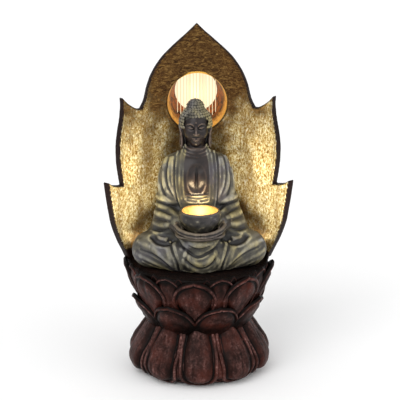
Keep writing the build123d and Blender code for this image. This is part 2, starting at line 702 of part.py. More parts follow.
def bowl_hose():
    bottom = BOWL_RIM_Z - BOWL_H - 6
    points = [(SPOUT_X, PUMP_Y - 9, TEE_Z), (SPOUT_X, 8, TEE_Z), (0, -8, 118), (0, -8, 149), (0, -24, 153)]
    points += [(0, BOWL_Y, 156), (0, BOWL_Y, bottom)]
    return tube(points, HOSE_R, HOSE_BORE)


def rain_hose():
    reach = HOUSING_R - WALL - HOSE_R - 1.8
    bend_z = WINDOW_Z + reach * tan(radians(22.5))
    end_x = 2 - TRAY_HALF
    points = [(SPOUT_X, PUMP_Y + 9, TEE_Z), (SPOUT_X, 59, TEE_Z), (-24, 61, 134), (-reach, 60, 158)]
    points += [(-reach, 58, 200), (-reach, RAIN_Y, 250), (-reach, RAIN_Y, bend_z)]
    points.append((end_x, RAIN_Y, bend_z + reach + end_x))
    tray_end = box((-TRAY_HALF, 0), (RAIN_Y - 10, RAIN_Y + 10), (TRAY_Z[0] - 5, TRAY_Z[1] + 5))
    return tube(points, HOSE_R, HOSE_BORE) - tray_end


def lead_junction():
    """Sealed block where the lamp leads and the pump's lead join the supply."""
    return box(*JUNCTION)


def pump_lead():
    points = [(PUMP_X[1], PUMP_Y, 90), (PUMP_X[1] + 8, PUMP_Y, 90), (31, 56, 104), (31, 63, 130), (31, 63, JUNCTION[2][0])]
    return tube(points, 1.8)


def window_lamp_lead():
    y = DUCT_Y1 + DIFFUSER_T + 1.0 + LED_BOARD_T / 2
    z = WINDOW_Z + DUCT_RISE - DUCT_BACK_R - 1
    points = [(34, 63, JUNCTION[2][1]), (34, 63, 235), (26, 66, 258), (8, y, 268), (0, y, z - 8), (0, y, z)]
    return tube(points, 0.7)


def uplight_lead_right():
    """From the junction block, down through the seat plate's notch and up into the right uplight."""
    x, y = lamp_place(1)
    points = [(37.5, 66, JUNCTION[2][0]), (37.5, 66, 162), (37.5, 60, 142), (36, 50, 114), (52, 28, 112), (x, y, 114)]
    return tube(points + [(x, y, SEAT_Z + 4)], LEAD_R)


def uplight_lead_left():
    x, y = lamp_place(-1)
    points = [(30.5, 58, JUNCTION[2][0]), (30.5, 58, 160), (30.5, 56, 142), (26, 52, 110), (6, 53, 104), (-22, 51, 104)]
    return tube(points + [(-50, 28, 110), (x, y, 114), (x, y, SEAT_Z + 4)], LEAD_R)


def bowl_lamp_lead():
    points = [(36, 58.5, JUNCTION[2][0]), (36, 58.5, 164), (36, 55, 146), (28, 49, 116), (12, 16, 115), (5, -9, 118)]
    points += [(5, -10, 150), (5.4, -30, 151), (6, BOWL_Y, 155), (6, BOWL_Y, BOWL_FLOOR_Z)]
    return tube(points, 0.7)


# ---- everything ---------------------------------------------------------------------------------
def parts():
    return {
        "foot_ring": foot_ring(),
        "base_plate": base_plate(),
        "pedestal_shell": pedestal_shell(),
        "lotus_basin": lotus_basin(),
        "basin_screws": basin_screws(),
        "seat_plate": seat_plate(),
        "mandorla": mandorla(),
        "mandorla_brackets": mandorla_brackets(),
        "bracket_screws": bracket_screws(),
        "rear_housing": rear_housing(),
        "housing_screws": housing_screws(),
        "rear_door": rear_door(),
        "door_hinge_pin": door_hinge_pin(),
        "cable_grommet": cable_grommet(),
        "window_duct": window_duct(),
        "window_diffuser": window_diffuser(),
        "window_led_board": window_led_board(),
        "rain_lines": rain_lines(),
        "drip_tray": drip_tray(),
        "line_anchor_bar": line_anchor_bar(),
        "buddha_figure": buddha_figure(),
        "figure_hands": figure_hands(),
        "alms_bowl": alms_bowl(),
        "bowl_nozzle": bowl_nozzle(),
        "bowl_lamp": bowl_lamp(),
        "bowl_lamp_lens": bowl_lamp_lens(),
        "uplight_left": uplight_housing(-1),
        "uplight_right": uplight_housing(1),
        "uplight_lens_left": uplight_lens(-1),
        "uplight_lens_right": uplight_lens(1),
        "pump_body": pump_body(),
        "suction_cups": suction_cups(),
        "impeller": impeller(),
        "impeller_magnet": impeller_magnet(),
        "impeller_shaft": impeller_shaft(),
        "pump_cover": pump_cover(),
        "flow_dial": flow_dial(),
        "tee_fitting": tee_fitting(),
        "bowl_hose": bowl_hose(),
        "rain_hose": rain_hose(),
        "lead_junction": lead_junction(),
        "pump_lead": pump_lead(),
        "window_lamp_lead": window_lamp_lead(),
        "uplight_lead_left": uplight_lead_left(),
        "uplight_lead_right": uplight_lead_right(),
        "bowl_lamp_lead": bowl_lamp_lead(),
    }


os.makedirs("parts", exist_ok=True)
for name, shape in parts().items():
    export_step(shape, f"parts/{name}.step")
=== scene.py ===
"""Looks for the tabletop fountain: lotus petals, leaf-shaped back plate, seated figure, bowl, lamps and materials.

Shapes are worked out in millimetres, in the shared frame, and become metres when a mesh is made. The lamps, the
camera and the floor are in metres.
"""
import math

import bpy
import numpy as np
from mathutils import Matrix, Quaternion, Vector


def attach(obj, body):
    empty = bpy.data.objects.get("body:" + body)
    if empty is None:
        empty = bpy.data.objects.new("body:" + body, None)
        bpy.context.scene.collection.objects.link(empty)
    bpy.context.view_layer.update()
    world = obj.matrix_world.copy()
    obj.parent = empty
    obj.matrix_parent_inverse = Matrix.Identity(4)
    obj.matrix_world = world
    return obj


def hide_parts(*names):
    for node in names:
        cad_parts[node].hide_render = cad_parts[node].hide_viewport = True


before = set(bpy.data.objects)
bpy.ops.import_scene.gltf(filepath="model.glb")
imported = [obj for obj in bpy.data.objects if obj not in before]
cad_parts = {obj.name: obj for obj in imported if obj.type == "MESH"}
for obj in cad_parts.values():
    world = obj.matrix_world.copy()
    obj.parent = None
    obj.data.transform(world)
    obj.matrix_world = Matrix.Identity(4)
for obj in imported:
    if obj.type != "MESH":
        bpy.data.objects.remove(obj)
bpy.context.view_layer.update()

RNG = np.random.default_rng(7)
MM = 0.001
PEDESTAL_TURN, BASIN_TURN = -2.0, -6.5  # degrees that the petals are turned from the figure's front
PEDESTAL_PETALS, BASIN_PETALS = 10, 8
SEAT_Z = 128.0
PLATE_R, PLATE_AXIS_Y = 135.0, -103.0  # the back plate is bent round this upright axis
WINDOW_Z, WINDOW_R = 309.0, 34.0
BOWL_Y, BOWL_TOP, BOWL_BOTTOM = -46.0, 203.0, 178.0
LEAN = 3.0  # how far the torso and head lean to the left
RING_STEPS = 160  # points round a turned piece
PETAL_GRID = 45, 61  # points across and along a petal


# ---- meshes
def add_mesh(name, points, faces, material, body="fountain", values=None, replaces=(), slot=None):
    """A smooth mesh from points in millimetres, faces of point indices and a value per point for each key."""
    mesh = bpy.data.meshes.new(name)
    if isinstance(faces, np.ndarray):
        faces = faces.tolist()
    mesh.from_pydata((np.asarray(points, dtype=float) * MM).tolist(), [], faces)
    mesh.validate()
    mesh.update()
    for key, data in (values or {}).items():
        layer = mesh.attributes.new(key, "FLOAT", "POINT")
        layer.data.foreach_set("value", np.asarray(data, dtype=np.float32))
    mesh.shade_smooth()
    mesh.materials.append(material)
    piece = bpy.data.objects.new(name, mesh)
    bpy.context.scene.collection.objects.link(piece)
    if body:
        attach(piece, body)
    if replaces:
        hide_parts(*replaces)
    return piece


def spline(points, count):
    """Catmull-Rom curve through points, at count even steps of its parameter."""
    p = np.asarray(points, dtype=float)
    p = np.vstack([2 * p[0] - p[1], p, 2 * p[-1] - p[-2]])
    t = np.linspace(0, len(p) - 3 - 1e-9, count)
    i = t.astype(int)
    f = (t - i)[:, None]
    a, b, c, d = p[i], p[i + 1], p[i + 2], p[i + 3]
    return 0.5 * (2 * b + (c - a) * f + (2 * a - 5 * b + 4 * c - d) * f**2 + (3 * b - a - 3 * c + d) * f**3)


def smoothstep(low, high, x):
    """0 below low, 1 above high, and smooth between."""
    t = np.clip((x - low) / (high - low), 0, 1)
    return t * t * (3 - 2 * t)


def waves(x, y, z, scale, seed):
    """Cheap smooth noise between about -1 and 1, from a few turned sine waves."""
    rng = np.random.default_rng(seed)
    total = 0.0
    for octave in range(3):
        for _ in range(3):
            k = rng.normal(size=3)
            k *= (1.7**octave) * 2 * math.pi / scale / np.linalg.norm(k)
            total = total + np.sin(k[0] * x + k[1] * y + k[2] * z + rng.uniform(0, 6.28)) / 1.7**octave
    return total / 4.5


def outline_distance(x, y, points):
    """Distance to a closed outline, negative inside."""
    best = np.full(x.shape, 1e9)
    inside = np.zeros(x.shape, dtype=bool)
    for (ax, ay), (bx, by) in zip(points, np.roll(points, -1, axis=0)):
        dx, dy = bx - ax, by - ay
        t = np.clip(((x - ax) * dx + (y - ay) * dy) / (dx * dx + dy * dy + 1e-12), 0, 1)
        best = np.minimum(best, (x - ax - t * dx) ** 2 + (y - ay - t * dy) ** 2)
        if ay != by:
            inside ^= ((ay > y) != (by > y)) & (x < (bx - ax) * (y - ay) / (by - ay) + ax)
    return np.where(inside, -1, 1) * np.sqrt(best)


def ring_faces(rows, count, closed=False):
    """Quads between rows of count points, where each row is a ring. closed joins the last row to the first."""
    return [(i * count + j, (i + 1) % rows * count + j, (i + 1) % rows * count + (j + 1) % count,
             i * count + (j + 1) % count) for i in range(rows if closed else rows - 1) for j in range(count)]


def surface_nets(field, origin, step):
    """Points and quads of a distance grid's zero level."""
    inside = field < 0
    corner = [inside[a or None : (a - 1) or None, b or None : (b - 1) or None, c or None : (c - 1) or None]
              for a in (0, 1) for b in (0, 1) for c in (0, 1)]
    count = sum(c.astype(np.int8) for c in corner)
    active = (count > 0) & (count < 8)
    cells = np.argwhere(active)
    index = np.full(active.shape, -1, dtype=np.int64)
    index[active] = np.arange(len(cells))
    total, hits = np.zeros((len(cells), 3)), np.zeros(len(cells))
    for axis in range(3):
        unit = np.eye(3, dtype=int)[axis]
        others = [np.eye(3, dtype=int)[(axis + k) % 3] for k in (1, 2)]
        for a in (0, 1):
            for b in (0, 1):
                p = cells + a * others[0] + b * others[1]
                q = p + unit
                v, w = field[tuple(p.T)], field[tuple(q.T)]
                cross = (v < 0) != (w < 0)
                t = np.where(cross, v / np.where(cross, v - w, 1), 0)
                total[cross] += (p + t[:, None] * unit)[cross]
                hits[cross] += 1
    points = np.asarray(origin) + step * total / hits[:, None]
    quads = []
    for axis in range(3):
        u, w = [np.eye(3, dtype=int)[(axis + k) % 3] for k in (1, 2)]
        low, high = [slice(1, -1)] * 3, [slice(1, -1)] * 3
        low[axis], high[axis] = slice(0, -1), slice(1, None)
        start, end = inside[tuple(low)], inside[tuple(high)]
        for flip in (False, True):
            edges = np.argwhere((start != end) & (start == flip))
            edges[:, (axis + 1) % 3] += 1
            edges[:, (axis + 2) % 3] += 1
            ring = [edges, edges - u, edges - u - w, edges - w]
            quad = np.stack([index[tuple(r.T)] for r in ring], axis=1)
            quads.append(quad[:, ::-1] if not flip else quad)
    return points, np.vstack(quads)


def relaxed(points, quads, rounds):
    """Evens out the grid's steps: each point moves halfway to the mean of its neighbours."""
    a, b = quads.ravel(), np.roll(quads, -1, axis=1).ravel()
    ends, others = np.concatenate([a, b]), np.concatenate([b, a])
    count = np.bincount(ends, minlength=len(points))[:, None]
    for _ in range(rounds):
        mean = np.stack([np.bincount(ends, points[others, k], len(points)) for k in range(3)], axis=1) / count
        points = (points + mean) / 2
    return points


def capsule(x, y, z, a, b, ra, rb):
    """Distance to a stick from a to b whose radius runs from ra to rb."""
    d = b - a
    px, py, pz = x - a[0], y - a[1], z - a[2]
    t = np.clip((px * d[0] + py * d[1] + pz * d[2]) / (d @ d + 1e-9), 0, 1)
    return np.sqrt((px - t * d[0]) ** 2 + (py - t * d[1]) ** 2 + (pz - t * d[2]) ** 2) - (ra + (rb - ra) * t)


class Clay:
    """A grid of signed distances that shapes are joined to and cut from."""

    def __init__(self, low, high, step):
        self.low, self.step, self.side = np.asarray(low, dtype=float), step, 1
        shape = np.ceil((np.asarray(high) - self.low) / step).astype(int) + 1
        self.axes = [self.low[k] + step * np.arange(shape[k]) for k in range(3)]
        self.d = np.full(shape, 20.0, dtype=np.float32)

    def sides(self):
        """Loops over both sides: shapes made on the second are mirrored."""
        for self.side in (1, -1):
            yield self.side
        self.side = 1

    def mirrored(self, points):
        return np.asarray(points, dtype=float) * (self.side, 1, 1)

    def window(self, low, high):
        """Slices of the box low to high, and its coordinates."""
        a = np.clip(np.floor((low - self.low) / self.step), 0, self.d.shape).astype(int)
        b = np.clip(np.ceil((high - self.low) / self.step) + 1, 0, self.d.shape).astype(int)
        cut = tuple(slice(*ends) for ends in zip(a, b))
        x, y, z = (axis[c] for axis, c in zip(self.axes, cut))
        return cut, x[:, None, None], y[None, :, None], z[None, None, :]

    def put(self, shape, low, high, blend=2.0, cut=False, margin=None):
        """Joins, or cuts away, a distance function inside the box low to high."""
        margin = blend + 2 if margin is None else margin
        where, x, y, z = self.window(np.asarray(low) - margin, np.asarray(high) + margin)
        if 0 in self.d[where].shape:
            return
        a, b = self.d[where], shape(x, y, z)
        if cut:
            a, b = -a, b
        h = np.maximum(blend - np.abs(a - b), 0) / max(blend, 1e-6)
        merged = np.minimum(a, b) - h * h * blend / 4
        self.d[where] = -merged if cut else merged

    def ellipsoid(self, centre, radii, blend=2.0, cut=False):
        c, r = self.mirrored(centre), np.asarray(radii, dtype=float)

        def shape(x, y, z):
            x, y, z = x - c[0], y - c[1], z - c[2]
            near = np.sqrt((x / r[0]) ** 2 + (y / r[1]) ** 2 + (z / r[2]) ** 2)
            far = np.sqrt((x / r[0] ** 2) ** 2 + (y / r[1] ** 2) ** 2 + (z / r[2] ** 2) ** 2)
            return near * (near - 1) / np.maximum(far, 1e-6)

        self.put(shape, c - r, c + r, blend, cut)

    def stick(self, a, b, ra, rb, blend=2.0):
        a, b, r = self.mirrored(a), self.mirrored(b), max(ra, rb)
        self.put(lambda x, y, z: capsule(x, y, z, a, b, ra, rb), np.minimum(a, b) - r, np.maximum(a, b) + r, blend)

    def cord(self, points, radii, blend=1.5, cut=False):
        """A bent stick through points, as one shape so that its joints don't swell."""
        points, radii = self.mirrored(points), np.broadcast_to(radii, len(points))
        r = max(radii) + 0.1

        def shape(x, y, z):
            best = np.inf
            for ends in zip(points, points[1:], radii, radii[1:]):
                best = np.minimum(best, capsule(x, y, z, *ends))
            return best

        self.put(shape, points.min(axis=0) - r, points.max(axis=0) + r, blend, cut)

    def nearest(self, values, axis):
        """Grid indices nearest to coordinates along an axis."""
        return np.clip(((values - self.low[axis]) / self.step).round().astype(int), 0, self.d.shape[axis] - 1)

    def fold(self, outline, radius, depth=0.0, blend=2.5, cut=False, taper=0.35, count=14):
        """A ridge, or with cut a groove, along an (x, z) curve laid on the front of the surface."""
        x, z = spline(outline, count).T
        inside = self.d[self.nearest(x * self.side, 0), :, self.nearest(z, 2)] < 0
        on = inside.any(axis=1)
        if on.sum() < 3:
            return
        front = self.axes[1][np.argmax(inside, axis=1)]
        y = np.interp(np.arange(count), np.arange(count)[on], front[on])
        y = np.convolve(np.pad(y, 1, mode="edge"), [0.25, 0.5, 0.25], mode="valid")
        swell = taper + (1 - taper) * np.sin(np.linspace(0.12, math.pi - 0.12, count))
        self.cord(np.stack([x, y + depth, z], axis=1), radius * swell, blend, cut)

    def mesh(self):
        """Points and outward quads of the surface."""
        points, quads = surface_nets(self.d, self.low, self.step)
        return points, quads[:, ::-1]

    def relief(self, points, radius):
        """How far each point stands out of its surroundings within the radius, about -1 to 1."""
        solid = np.clip(0.5 - self.d / self.step, 0, 1)
        reach = max(1, round(radius / self.step))
        for axis in (0, 0, 1, 1, 2, 2):
            solid = sum(np.roll(solid, k, axis) for k in range(-reach, reach + 1)) / (2 * reach + 1)
        at = np.clip((points - self.low) / self.step, 0, np.array(self.d.shape) - 1.001)
        cell = at.astype(int)
        value = 0
        for corner in np.ndindex(2, 2, 2):
            weight = np.prod(np.where(corner, at - cell, 1 + cell - at), axis=1)
            value = value + weight * solid[tuple((cell + corner).T)]
        return (0.5 - value) * 4


# ---- materials
class Paint:
    """A node material under construction."""

    def __init__(self, name):
        self.material = bpy.data.materials.new(name)
        self.material.use_nodes = True
        self.tree = self.material.node_tree
        self.shader = self.tree.nodes["Principled BSDF"]

    def node(self, kind, output=0, **inputs):
        """Adds a node. Sockets are named by their label in lower case, or in0, in1 for a number."""
        made = self.tree.nodes.new("ShaderNode" + kind)
        for key, value in inputs.items():
            if key in ("operation", "interpolation_type", "attribute_name"):
                setattr(made, key, value)
            elif key.startswith("in"):
                self.feed(made.inputs[int(key[2:])], value)
            else:
                self.feed(next(s for s in made.inputs if s.name.lower().replace(" ", "_") == key and s.enabled), value)
        return made.outputs[output]

    def feed(self, socket, value):
        if isinstance(value, bpy.types.NodeSocket):
            self.tree.links.new(value, socket)
        elif socket.type == "RGBA":
            socket.default_value = (*(value if isinstance(value, tuple) else (value,) * 3), 1)
        else:
            socket.default_value = value

    def set(self, **inputs):
        """Feeds the shader's sockets: a plain number goes on the socket itself."""
        for key, value in inputs.items():
            self.feed(self.shader.inputs[key.replace("_", " ").replace("Specular", "Specular IOR Level")], value)

    def place(self):
        return self.node("TexCoord", output=3)

    def value(self, name):
        return self.node("Attribute", output=2, attribute_name=name)

    def noise(self, scale, detail=3.0, rough=0.55, vector=None, distortion=0.0):
        return self.node("TexNoise", vector=vector or self.place(), scale=scale, detail=detail, roughness=rough,
                         distortion=distortion)

    def ramp(self, value, *stops):
        """Colour, or grey where a stop is a number, by value."""
        made = self.tree.nodes.new("ShaderNodeValToRGB")
        self.feed(made.inputs[0], value)
        points = made.color_ramp.elements
        while len(points) < len(stops):
            points.new(0.5)
        for point, (at, colour) in zip(points, stops):
            point.position = at
            rgb = colour if isinstance(colour, tuple) else (colour,) * 3
            point.color = (*rgb, 1)
        return made.outputs[0]

    def tones(self, value, low, high):
        """Two colours or greys for the low and high parts of a noise."""
        return self.ramp(value, (0.3, low), (0.7, high))

    def mix(self, amount, a, b):
        made = self.tree.nodes.new("ShaderNodeMix")
        made.data_type = "RGBA"
        for socket, value in ((0, amount), (6, a), (7, b)):
            self.feed(made.inputs[socket], value)
        return made.outputs[2]

    def math(self, how, a, b):
        return self.node("Math", operation=how, in0=a, in1=b)

    def times(self, a, b):
        return self.math("MULTIPLY", a, b)

    def band(self, value, low, high, most=1.0):
        """0 below low, most above high, and smooth between."""
        return self.node("MapRange", interpolation_type="SMOOTHSTEP", in0=value, in1=low, in2=high, in4=most)

    def bump(self, height, strength=0.3, distance=0.0006):
        self.feed(self.shader.inputs["Normal"],
                  self.node("Bump", strength=strength, distance=distance, height=height))

    def stretch(self, scale):
        """Object coordinates with each axis multiplied."""
        return self.node("Mapping", vector=self.place(), in3=scale)


def rgb(r, g, b):
    """Linear colour from the usual 0 to 255 numbers."""
    return tuple(((v / 255 + 0.055) / 1.055) ** 2.4 if v > 10 else v / 255 / 12.92 for v in (r, g, b))


def lotus_paint():
    """Mahogany paint over cast resin, rubbed lighter, partly as painted sheen, on everything that stands out, with
    painted shade, near black, in the gutters and the gaps between petals.
    """
    p = Paint("lotus_paint")
    relief = p.value("relief")
    cloud = p.noise(38, 5, 0.62)
    fine = p.noise(420, 4, 0.6)
    streak = p.noise(1.0, 5, 0.7, p.stretch((240, 240, 38)))
    base = p.ramp(cloud, (0.32, rgb(12, 5, 3)), (0.5, rgb(32, 14, 10)), (0.70, rgb(66, 29, 21)))
    # The rubbed, lighter colour is partly a painted highlight on the raised fields and rims.
    rub_and_sheen = p.ramp(fine, (0.3, rgb(72, 40, 35)), (0.55, rgb(116, 78, 72)), (0.8, rgb(176, 138, 134)))
    patch = p.noise(62, 4, 0.6)
    wear_and_light = p.times(p.ramp(streak, (0.38, 0.12), (0.62, 1.0)), p.ramp(patch, (0.36, 0.25), (0.6, 1.0)))
    amount = p.times(p.band(relief, 0.44, 1.15), wear_and_light)
    colour = p.mix(p.times(amount, 0.92), base, rub_and_sheen)
    # Painted shade: where relief is low (in the gutters, along the petals' edges and on the cores in the gaps) the
    # colour goes near black.
    colour = p.mix(p.band(relief, 0.36, -0.15, 0.94), colour, rgb(6, 3, 2))
    p.set(Base_Color=colour, Roughness=p.tones(fine, 0.34, 0.54), Specular=0.07)
    height = p.math("ADD", p.times(streak, 0.8), p.times(fine, 0.5))
    p.bump(height, 0.55, 0.0009)
    return p.material


def dark_paint(name="dark_paint", lift=1.0):
    """Dark brown paint with a rough, rocky cast texture."""
    p = Paint(name)
    lumps = p.noise(170, 6, 0.7)
    cloud = p.noise(30, 3)
    dim = lambda r, g, b: tuple(lift * c for c in rgb(r, g, b))
    base = p.ramp(cloud, (0.3, dim(11, 6, 5)), (0.6, dim(21, 11, 8)), (0.8, dim(34, 17, 12)))
    colour = p.mix(p.band(lumps, 0.52, 0.75), base, dim(56, 31, 22))
    p.set(Base_Color=colour, Roughness=p.tones(lumps, 0.62, 0.78), Specular=0.1)
    p.bump(lumps, 0.7, 0.0016)
    return p.material


def bronze_paint():
    """Aged bronze look: grey-green robe with pale rubbed ridges and dark polished skin. Painted shade darkens the robe
    in broad hollows and on the lower sleeves.
    """
    p = Paint("bronze_paint")
    relief = p.value("relief")
    broad_shade = p.value("broad_shade")
    skin = p.value("skin")
    cloud = p.noise(46, 5, 0.65, distortion=0.6)
    tint = p.noise(30, 3, 0.5, distortion=0.9)
    fine = p.noise(600, 4, 0.7)
    wipe = p.noise(1.0, 5, 0.6, p.stretch((90, 90, 60)), distortion=0.6)
    robe = p.ramp(cloud, (0.3, rgb(22, 20, 19)), (0.46, rgb(45, 43, 38)), (0.6, rgb(72, 69, 58)),
                  (0.76, rgb(46, 42, 44)))
    robe = p.mix(p.band(tint, 0.53, 0.68, 0.6), robe, rgb(106, 96, 60))
    robe = p.mix(p.band(tint, 0.46, 0.32, 0.6), robe, rgb(68, 63, 73))
    pale = p.ramp(tint, (0.35, rgb(136, 135, 130)), (0.62, rgb(166, 154, 110)))
    rubbed = p.times(p.band(relief, 0.02, 0.34), p.ramp(wipe, (0.36, 0.15), (0.60, 1.0)))
    robe = p.mix(p.times(rubbed, 0.9), robe, pale)
    robe = p.mix(p.band(relief, -0.02, -0.5, 0.85), robe, rgb(15, 13, 12))
    # Painted shade: the broad shade value darkens broad hollows and the fronts of the lower sleeves.
    robe = p.mix(p.band(broad_shade, 0.1, -0.6, 0.7), robe, rgb(17, 15, 13))
    bare = p.ramp(cloud, (0.3, rgb(16, 12, 12)), (0.6, rgb(36, 26, 24)), (0.8, rgb(60, 44, 38)))
    bare = p.mix(p.band(relief, 0.1, 0.6, 0.6), bare, rgb(122, 104, 92))
    bare = p.mix(p.band(relief, -0.05, -0.5, 0.8), bare, rgb(8, 6, 7))
    rough = p.mix(skin, p.tones(fine, 0.42, 0.62), p.tones(fine, 0.34, 0.44))
    p.set(Base_Color=p.mix(skin, robe, bare), Roughness=rough, Metallic=p.times(skin, 0.25), Specular=0.45)
    height = p.math("ADD", p.times(cloud, 0.6), p.times(fine, 0.3))
    height = p.times(height, p.math("SUBTRACT", 1.0, p.times(skin, 0.75)))
    p.bump(height, 0.35, 0.0007)
    return p.material


def gold_paint():
    """Crumpled gold leaf over brown, bare dark paint on the edges, the back and the lowest part. Where the shade value
    is high the leaf turns brown, as painted shade in the middle and towards the top.
    """
    p = Paint("gold_paint")
    gold, shade = p.value("gold"), p.value("shade")
    weave = p.noise(1.0, 6, 0.76, p.stretch((150, 150, 400)), distortion=1.3)
    cross = p.noise(1.0, 6, 0.72, p.stretch((540, 540, 330)), distortion=0.6)
    cloud = p.noise(16, 4, 0.6, distortion=0.7)
    leaf = p.ramp(cross, (0.33, rgb(80, 53, 17)), (0.44, rgb(156, 122, 56)), (0.54, rgb(212, 196, 142)),
                  (0.66, rgb(250, 246, 224)))
    streak = p.noise(1.0, 4, 0.6, p.stretch((85, 85, 11)), distortion=0.3)
    leaf = p.mix(p.band(streak, 0.50, 0.34, 0.55), leaf, rgb(120, 90, 44))
    brown = p.ramp(weave, (0.36, rgb(38, 24, 13)), (0.5, rgb(80, 55, 28)), (0.66, rgb(138, 108, 60)))
    # The leaf turns brown by the painted shade value, with noise that breaks its edge into worn-looking streaks.
    wear_and_light = p.math("ADD", shade, p.times(p.math("SUBTRACT", cloud, 0.5), 0.5))
    wear_and_light = p.math("ADD", wear_and_light, p.times(p.math("SUBTRACT", weave, 0.5), 0.8))
    leaf = p.mix(p.band(wear_and_light, 0.16, 1.08), leaf, brown)
    fleck = p.noise(70, 5, 0.7, distortion=1.0)
    leaf = p.mix(p.band(fleck, 0.42, 0.33, 0.45), leaf, rgb(84, 56, 27))
    grain = p.noise(500, 5, 0.7)
    paint = p.ramp(grain, (0.3, rgb(12, 6, 4)), (0.6, rgb(30, 14, 10)), (0.8, rgb(50, 27, 19)))
    rough = p.mix(gold, 0.5, p.tones(cross, 0.56, 0.40))
    p.set(Base_Color=p.mix(gold, paint, leaf), Roughness=rough, Metallic=p.times(gold, 0.6), Specular=0.1)
    height = p.math("ADD", cross, p.times(weave, 0.8))
    p.bump(height, 0.35, 0.0009)
    return p.material


def plain_paint(name, low, high, rough=(0.4, 0.5), scale=200.0, metallic=0.0, bump=0.15, depth=0.0003, stretch=None):
    """Moulded or drawn material: two tones of a colour, with fine grain."""
    p = Paint(name)
    grain = p.noise(1.0 if stretch else scale, 4, 0.6, p.stretch(stretch) if stretch else None)
    p.set(Base_Color=p.tones(grain, low, high), Metallic=metallic,
          Roughness=p.tones(grain, rough[0], rough[1]))
    p.bump(grain, bump, depth)
    return p.material


def lit_paint(name, colour, strength, stripes=False):
    """Frosted plastic lit from behind. On the rain lines it is painted light: a glow as if they caught the window's
    light.
    """
    p = Paint(name)
    grain = p.noise(300, 3)
    glow = p.tones(grain, tuple(0.97 * c for c in colour), colour)
    if stripes:
        band = p.noise(1.0, 2, 0.5, p.stretch((330, 0.0, 1.2)))
        glow = p.mix(p.band(band, 0.52, 0.66, 0.45), glow, rgb(240, 204, 150))
    p.set(Base_Color=p.mix(0.8, glow, rgb(60, 52, 40)), Roughness=0.6, Emission_Color=glow, Emission_Strength=strength)
    return p.material


def duct_paint():
    """Gilt wall of the window, with painted light and shade: bright at its front lip, dark brown further in."""
    p = Paint("duct_gilt")
    grain = p.noise(120, 5, 0.7, distortion=1.0)
    gilt = p.tones(grain, rgb(190, 118, 26), rgb(246, 196, 92))
    inner = p.ramp(grain, (0.40, rgb(40, 17, 3)), (0.62, rgb(142, 74, 12)))
    depth = p.math("SUBTRACT", p.node("SeparateXYZ", output=1, in0=p.place()), p.times(grain, 0.012))
    # Painted light and shade: by depth, bright gilt at the front lip and dark brown further in.
    p.set(Base_Color=p.mix(p.band(depth, 0.026, 0.042), gilt, inner), Roughness=0.5, Specular=0.1)
    p.bump(grain, 0.3, 0.0006)
    return p.material


def clear_paint(name, colour, rough=0.12):
    """Clear or milky plastic."""
    p = Paint(name)
    p.set(Base_Color=p.tones(p.noise(90, 3), colour, tuple(min(1, 1.1 * c) for c in colour)),
          Roughness=rough, Transmission_Weight=0.7, IOR=1.45)
    return p.material


# ---- lotus
def revolve(name, profile, material, count=RING_STEPS, body="fountain", wobble=None, **extra):
    """A closed ring from (radius, height) points."""
    profile = np.asarray(profile, dtype=float)
    angles = np.linspace(0, 2 * math.pi, count, endpoint=False)
    r = profile[:, 0][None, :] + (wobble(angles[:, None], profile[None, :, 1]) if wobble else 0)
    points = np.stack([r * np.cos(angles)[:, None], r * np.sin(angles)[:, None],
                       np.broadcast_to(profile[:, 1], r.shape)], axis=2).reshape(-1, 3)
    return add_mesh(name, points, ring_faces(count, len(profile), closed=True), material, body, **extra)


